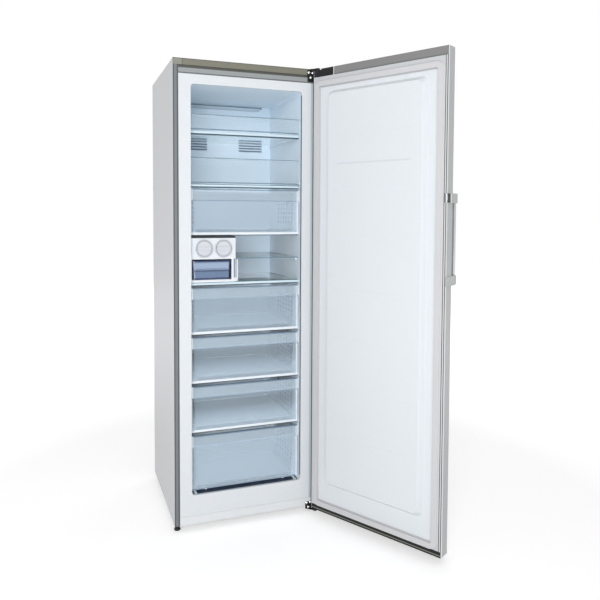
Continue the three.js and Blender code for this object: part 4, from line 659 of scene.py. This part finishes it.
# Formed sheet as the liner's, glossier: a neutral white. Painted shade in the grooves barely
# shows, except in the darker one at 1459 mm.
door_white, tree, shader = surface("white_polystyrene_door", "#d9dde1", 0.3)
grain(tree, shader, "#dbdfe3", "#d6dbe0", 6 * mm, 0.08 * mm, 1.0)
darkest_level = 1459
for level in (373, 572, 769, 966, 1166, 1357, darkest_level, 1565):          # mm above the floor
    # Painted shade in each groove.
    groove_shade = joined(tree, "MULTIPLY", within(tree, "Z", (level - 3) * mm, (level + 3) * mm, 1 * mm),
                    within(tree, door_out, pin_out + 125 * mm, pin_out + 450 * mm, 12 * mm))
    paint_over(tree, shader, groove_shade, "#cdd2d8" if level == darkest_level else "#d9dee3")
brim = joined(tree, "MULTIPLY", within(tree, door_in, pin_in - past, pin_in + 13.6 * mm),
              joined(tree, "MAXIMUM", within(tree, "Z", 1770 * mm, 1770 * mm + past),
                     within(tree, "Z", 0, 75 * mm)))
paint_over(tree, shader, brim, "#c3c5c8")
wear(door_white, "door_liner")
# The lacquer of the side panels, with painted light on the lip, painted shade in its creases
# and on the free edge's face, and a painted highlight along that edge.
door_skin, tree, shader = surface("silver_lacquered_steel_door", "#c5c6c8", 0.42, 0.2)
grain(tree, shader, "#cbccce", "#c2c3c5", 0.9 * mm, 0.02 * mm)
# Painted light: the lip, paler than the rest of the skin.
lip_face = joined(tree, "MULTIPLY", within(tree, door_in, pin_in + 10.8 * mm, pin_in + 14 * mm),
                  within(tree, door_out, pin_out + 560 * mm, pin_out + past))
paint_over(tree, shader, lip_face, "#d2d4d4")
# Painted shade in the creases at the fold and at the outer corner.
for low, high in ((573.4, 577.4), (582, 586.4)):          # mm from the pin: fold and outer corner
    crease_shade = within(tree, door_out, pin_out + low * mm, pin_out + high * mm)
    paint_over(tree, shader, joined(tree, "MULTIPLY", lip_face, crease_shade), "#313435")
free_edge = pin_out + 584.6 * mm
edge_glint = joined(tree, "MULTIPLY", within(tree, door_out, free_edge, pin_out + past),
                    within(tree, door_in, pin_in + 3.5 * mm, pin_in + 9.5 * mm))
# Painted shade on the free edge's face, and a painted highlight along it.
paint_over(tree, shader, within(tree, door_out, free_edge, pin_out + past), "#b4b5b7")
paint_over(tree, shader, edge_glint, "#f1f2f2")
wear(door_skin, "door_skin")
# Soft PVC: a matt light grey roll without highlights.
seal, tree, shader = surface("grey_pvc_seal", "#c8c8ca", 0.6)
grain(tree, shader, "#cbcbcd", "#c3c3c6", 1.5 * mm, 0.08 * mm)
wear(seal, "door_gasket")
# Polypropylene, dull as moulded: a flat black form with a faint grey sheen.
black, tree, shader = surface("black_polypropylene", "#131315", 0.55, Specular_IOR_Level=0.3)
grain(tree, shader, "#161618", "#0f0f11", 0.8 * mm, 0.08 * mm)
# The same, with a light line along its step.
black_cap, tree, shader = surface("black_polypropylene_cap", "#131315", 0.55, Specular_IOR_Level=0.3)
grain(tree, shader, "#161618", "#0f0f11", 0.8 * mm, 0.08 * mm)
cap_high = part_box("door_bottom_cap")[1].z
paint_over(tree, shader, within(tree, "Z", cap_high - 16 * mm, cap_high - 12 * mm), "#74756c")
wear(black_cap, "door_bottom_cap")


def on_door(shape):
    """Turns a shape given on the shut door about the hinge pin, to the door as it stands:
    (x, y) from the pin becomes (x cos a - y sin a, x sin a + y cos a), a the door's angle."""
    spin = np.array([[np.cos(opened), -np.sin(opened)], [np.sin(opened), np.cos(opened)]])
    turned_shape = np.array(shape)
    turned_shape[..., :2] = (turned_shape[..., :2] - pin) @ spin.T + pin
    return turned_shape


hinge_block = block((76 * mm, 3.2 * mm, 26 * mm), 3 * mm, 1 * mm)
shells("door_hinge_block", [on_door(at(hinge_block, 240, -10.3, 1828))], black,
       "door")

# ------------------------------------------------------------------------------------------
# Handle: anodised aluminium bar between two brackets moulded in grey ABS, fixed on the door's
# edge. A white acetal pusher comes out through the upper one; the slot round it is black with
# painted shade, with a pale lip on the side of the bar.

# Satin grey ABS, a little cooler than the steel.
bracket, tree, shader = surface("grey_abs", "#b6bab8", 0.38)
grain(tree, shader, "#babebc", "#b1b5b3", 0.8 * mm, 0.05 * mm)
slot_height = within(tree, "Z", 1302 * mm, 1334 * mm)
slot_start, lip_start = pin_in - 13 * mm, pin_in - 20 * mm
# A pale lip, then the slot, black with painted shade.
for low, high, shade in ((lip_start, slot_start, "#e6e7e7"),
                         (slot_start, pin_in + 11.6 * mm, "#0b0b0c")):
    band_mask = within(tree, door_in, low, high)
    paint_over(tree, shader, joined(tree, "MULTIPLY", slot_height, band_mask), shade)
wear(bracket, "handle_bracket_upper", "handle_bracket_lower")
# Acetal: smooth bright white at its tip; its grey stretch lies in the bracket, and its black
# stretch, in the slot, is painted shade.
nose, tree, shader = surface("white_acetal", "#eff0f1", 0.3)
grain(tree, shader, "#f2f3f4", "#ebeced", 1 * mm, 0.02 * mm)
paint_over(tree, shader, within(tree, door_in, pin_in - past, lip_start), "#b2b6b4")
# Painted shade: the stretch inside the slot, black.
paint_over(tree, shader, within(tree, door_in, slot_start, pin_in + 11 * mm), "#0b0b0c")
inner_face = joined(tree, "MULTIPLY", within(tree, door_in, pin_in + 12 * mm, pin_in + past),
                    within(tree, door_out, pin_out, pin_out + 586 * mm))
paint_over(tree, shader, inner_face, "#707375")
wear(nose, "handle_pusher")
# Anodised aluminium: silver with soft, drawn-out reflections, brighter than the lacquer.
anodised, tree, shader = surface("anodised_aluminium", "#bfc1c3", 0.3, 0.9)
grain(tree, shader, "#c3c5c7", "#babcbe", 0.5 * mm, 0.02 * mm)
wear(anodised, "handle_bar")
ease(0.8 * mm, "handle_bracket_upper", "handle_bracket_lower", "handle_bar")

# ------------------------------------------------------------------------------------------
# Hinges: black lacquered steel brackets, each held to the cabinet by three bright zinc-plated
# pan-head screws. The upper one has a clipped-on cover of the door's black plastic.

# Lacquered black: dark with a faint sheen on its edges.
hinge_black, tree, shader = surface("black_lacquered_steel", "#101112", 0.4, Specular_IOR_Level=0.3)
grain(tree, shader, "#131415", "#0c0d0e", 1 * mm, 0.03 * mm)
wear(hinge_black, "top_hinge", "bottom_hinge")
wear(black, "hinge_cover")
# Zinc plate: small bright points on the black brackets.
bright, tree, shader = surface("bright_zinc_plate", "#d5d7d9", 0.25, 0.9)
grain(tree, shader, "#dadcde", "#cccfd1", 1 * mm, 0.03 * mm)
head_profile = np.array([[0.05, -2.6], [3.4, -2.3], [5.3, -1.2], [5.7, 0], [5.7, 0.8],
                         [0.05, 0.8]]) * mm
screw_head = turned(head_profile, 24)
screw_heads = []
bracket_end, bracket_length = 296.9, 45                   # mm from the middle, mm
for height in (1826, 29):                                 # top and bottom bracket, mm
    for share, rise in ((0.12, 12), (0.5, 12), (0.3, -8)):
        x = bracket_end - bracket_length * (1 - share)
        screw_heads.append(at(screw_head, x, -4.6, height + rise))
shells("hinge_screws", screw_heads, bright, "cabinet")

# ------------------------------------------------------------------------------------------
# Feet: black moulded pads on bright zinc-plated studs, screwed into the base. At the back the
# cabinet stands on two black plastic rollers.

# Black plastic, a little glossier than the caps, under bright bare metal.
foot, tree, shader = surface("black_foot_with_bright_stud", "#1d1d1f", 0.45)
grain(tree, shader, "#232325", "#18181a", 0.8 * mm, 0.08 * mm)
stud = within(tree, "Z", 16.2 * mm, 60 * mm)              # all that stands over the pad
paint_over(tree, shader, stud, "#c9cbcd")
wear(foot, "foot_left", "foot_right")
wear(black, "rear_roller_left", "rear_roller_right")

# ------------------------------------------------------------------------------------------
# Behind and below: base pan of zinc-coated sheet, coated rear panel, foam poured between liner
# and steel, finned aluminium evaporator, nylon fan and enamelled compressor.

# Zinc coating: a cold grey metal with 8 mm spangles.
zinc, tree, shader = surface("zinc_coated_steel", "#9a9b9d", 0.4, 0.85)
grain(tree, shader, "#a6a7a9", "#8c8d90", 8 * mm, 0.02 * mm)
wear(zinc, "base_pan")
# Thin grey coat on steel: flat and dull.
rear, tree, shader = surface("grey_coated_sheet", "#8f9193", 0.55, 0.3)
grain(tree, shader, "#939597", "#8a8c8e", 1 * mm, 0.05 * mm)
wear(rear, "rear_panel")
# Rigid foam: dull pale yellow, with open cells drawn 2 mm wide so that they show.
foam, tree, shader = surface("polyurethane_foam", "#e2d9a8", 0.9)
grain(tree, shader, "#e8dfb0", "#d4c993", 2 * mm, 0.6 * mm)
wear(foam, "insulation_foam", "door_foam")
# Mill-finish aluminium: light, with a soft metal gloss.
fins, tree, shader = surface("bare_aluminium", "#c9ccce", 0.35, 0.9)
grain(tree, shader, "#ced1d3", "#c0c3c6", 1 * mm, 0.03 * mm)
wear(fins, "evaporator")
# Moulded nylon: warm, slightly glossy off-white.
motor, tree, shader = surface("ivory_nylon", "#d9d9d6", 0.45)
grain(tree, shader, "#ddddda", "#d2d2cf", 1 * mm, 0.05 * mm)
wear(motor, "fan_motor", "fan_blades")
# Stove enamel: black with a clear gloss.
enamel, tree, shader = surface("black_enamel", "#1d1d1f", 0.28)
grain(tree, shader, "#242426", "#19191b", 2 * mm, 0.08 * mm)
wear(enamel, "compressor")
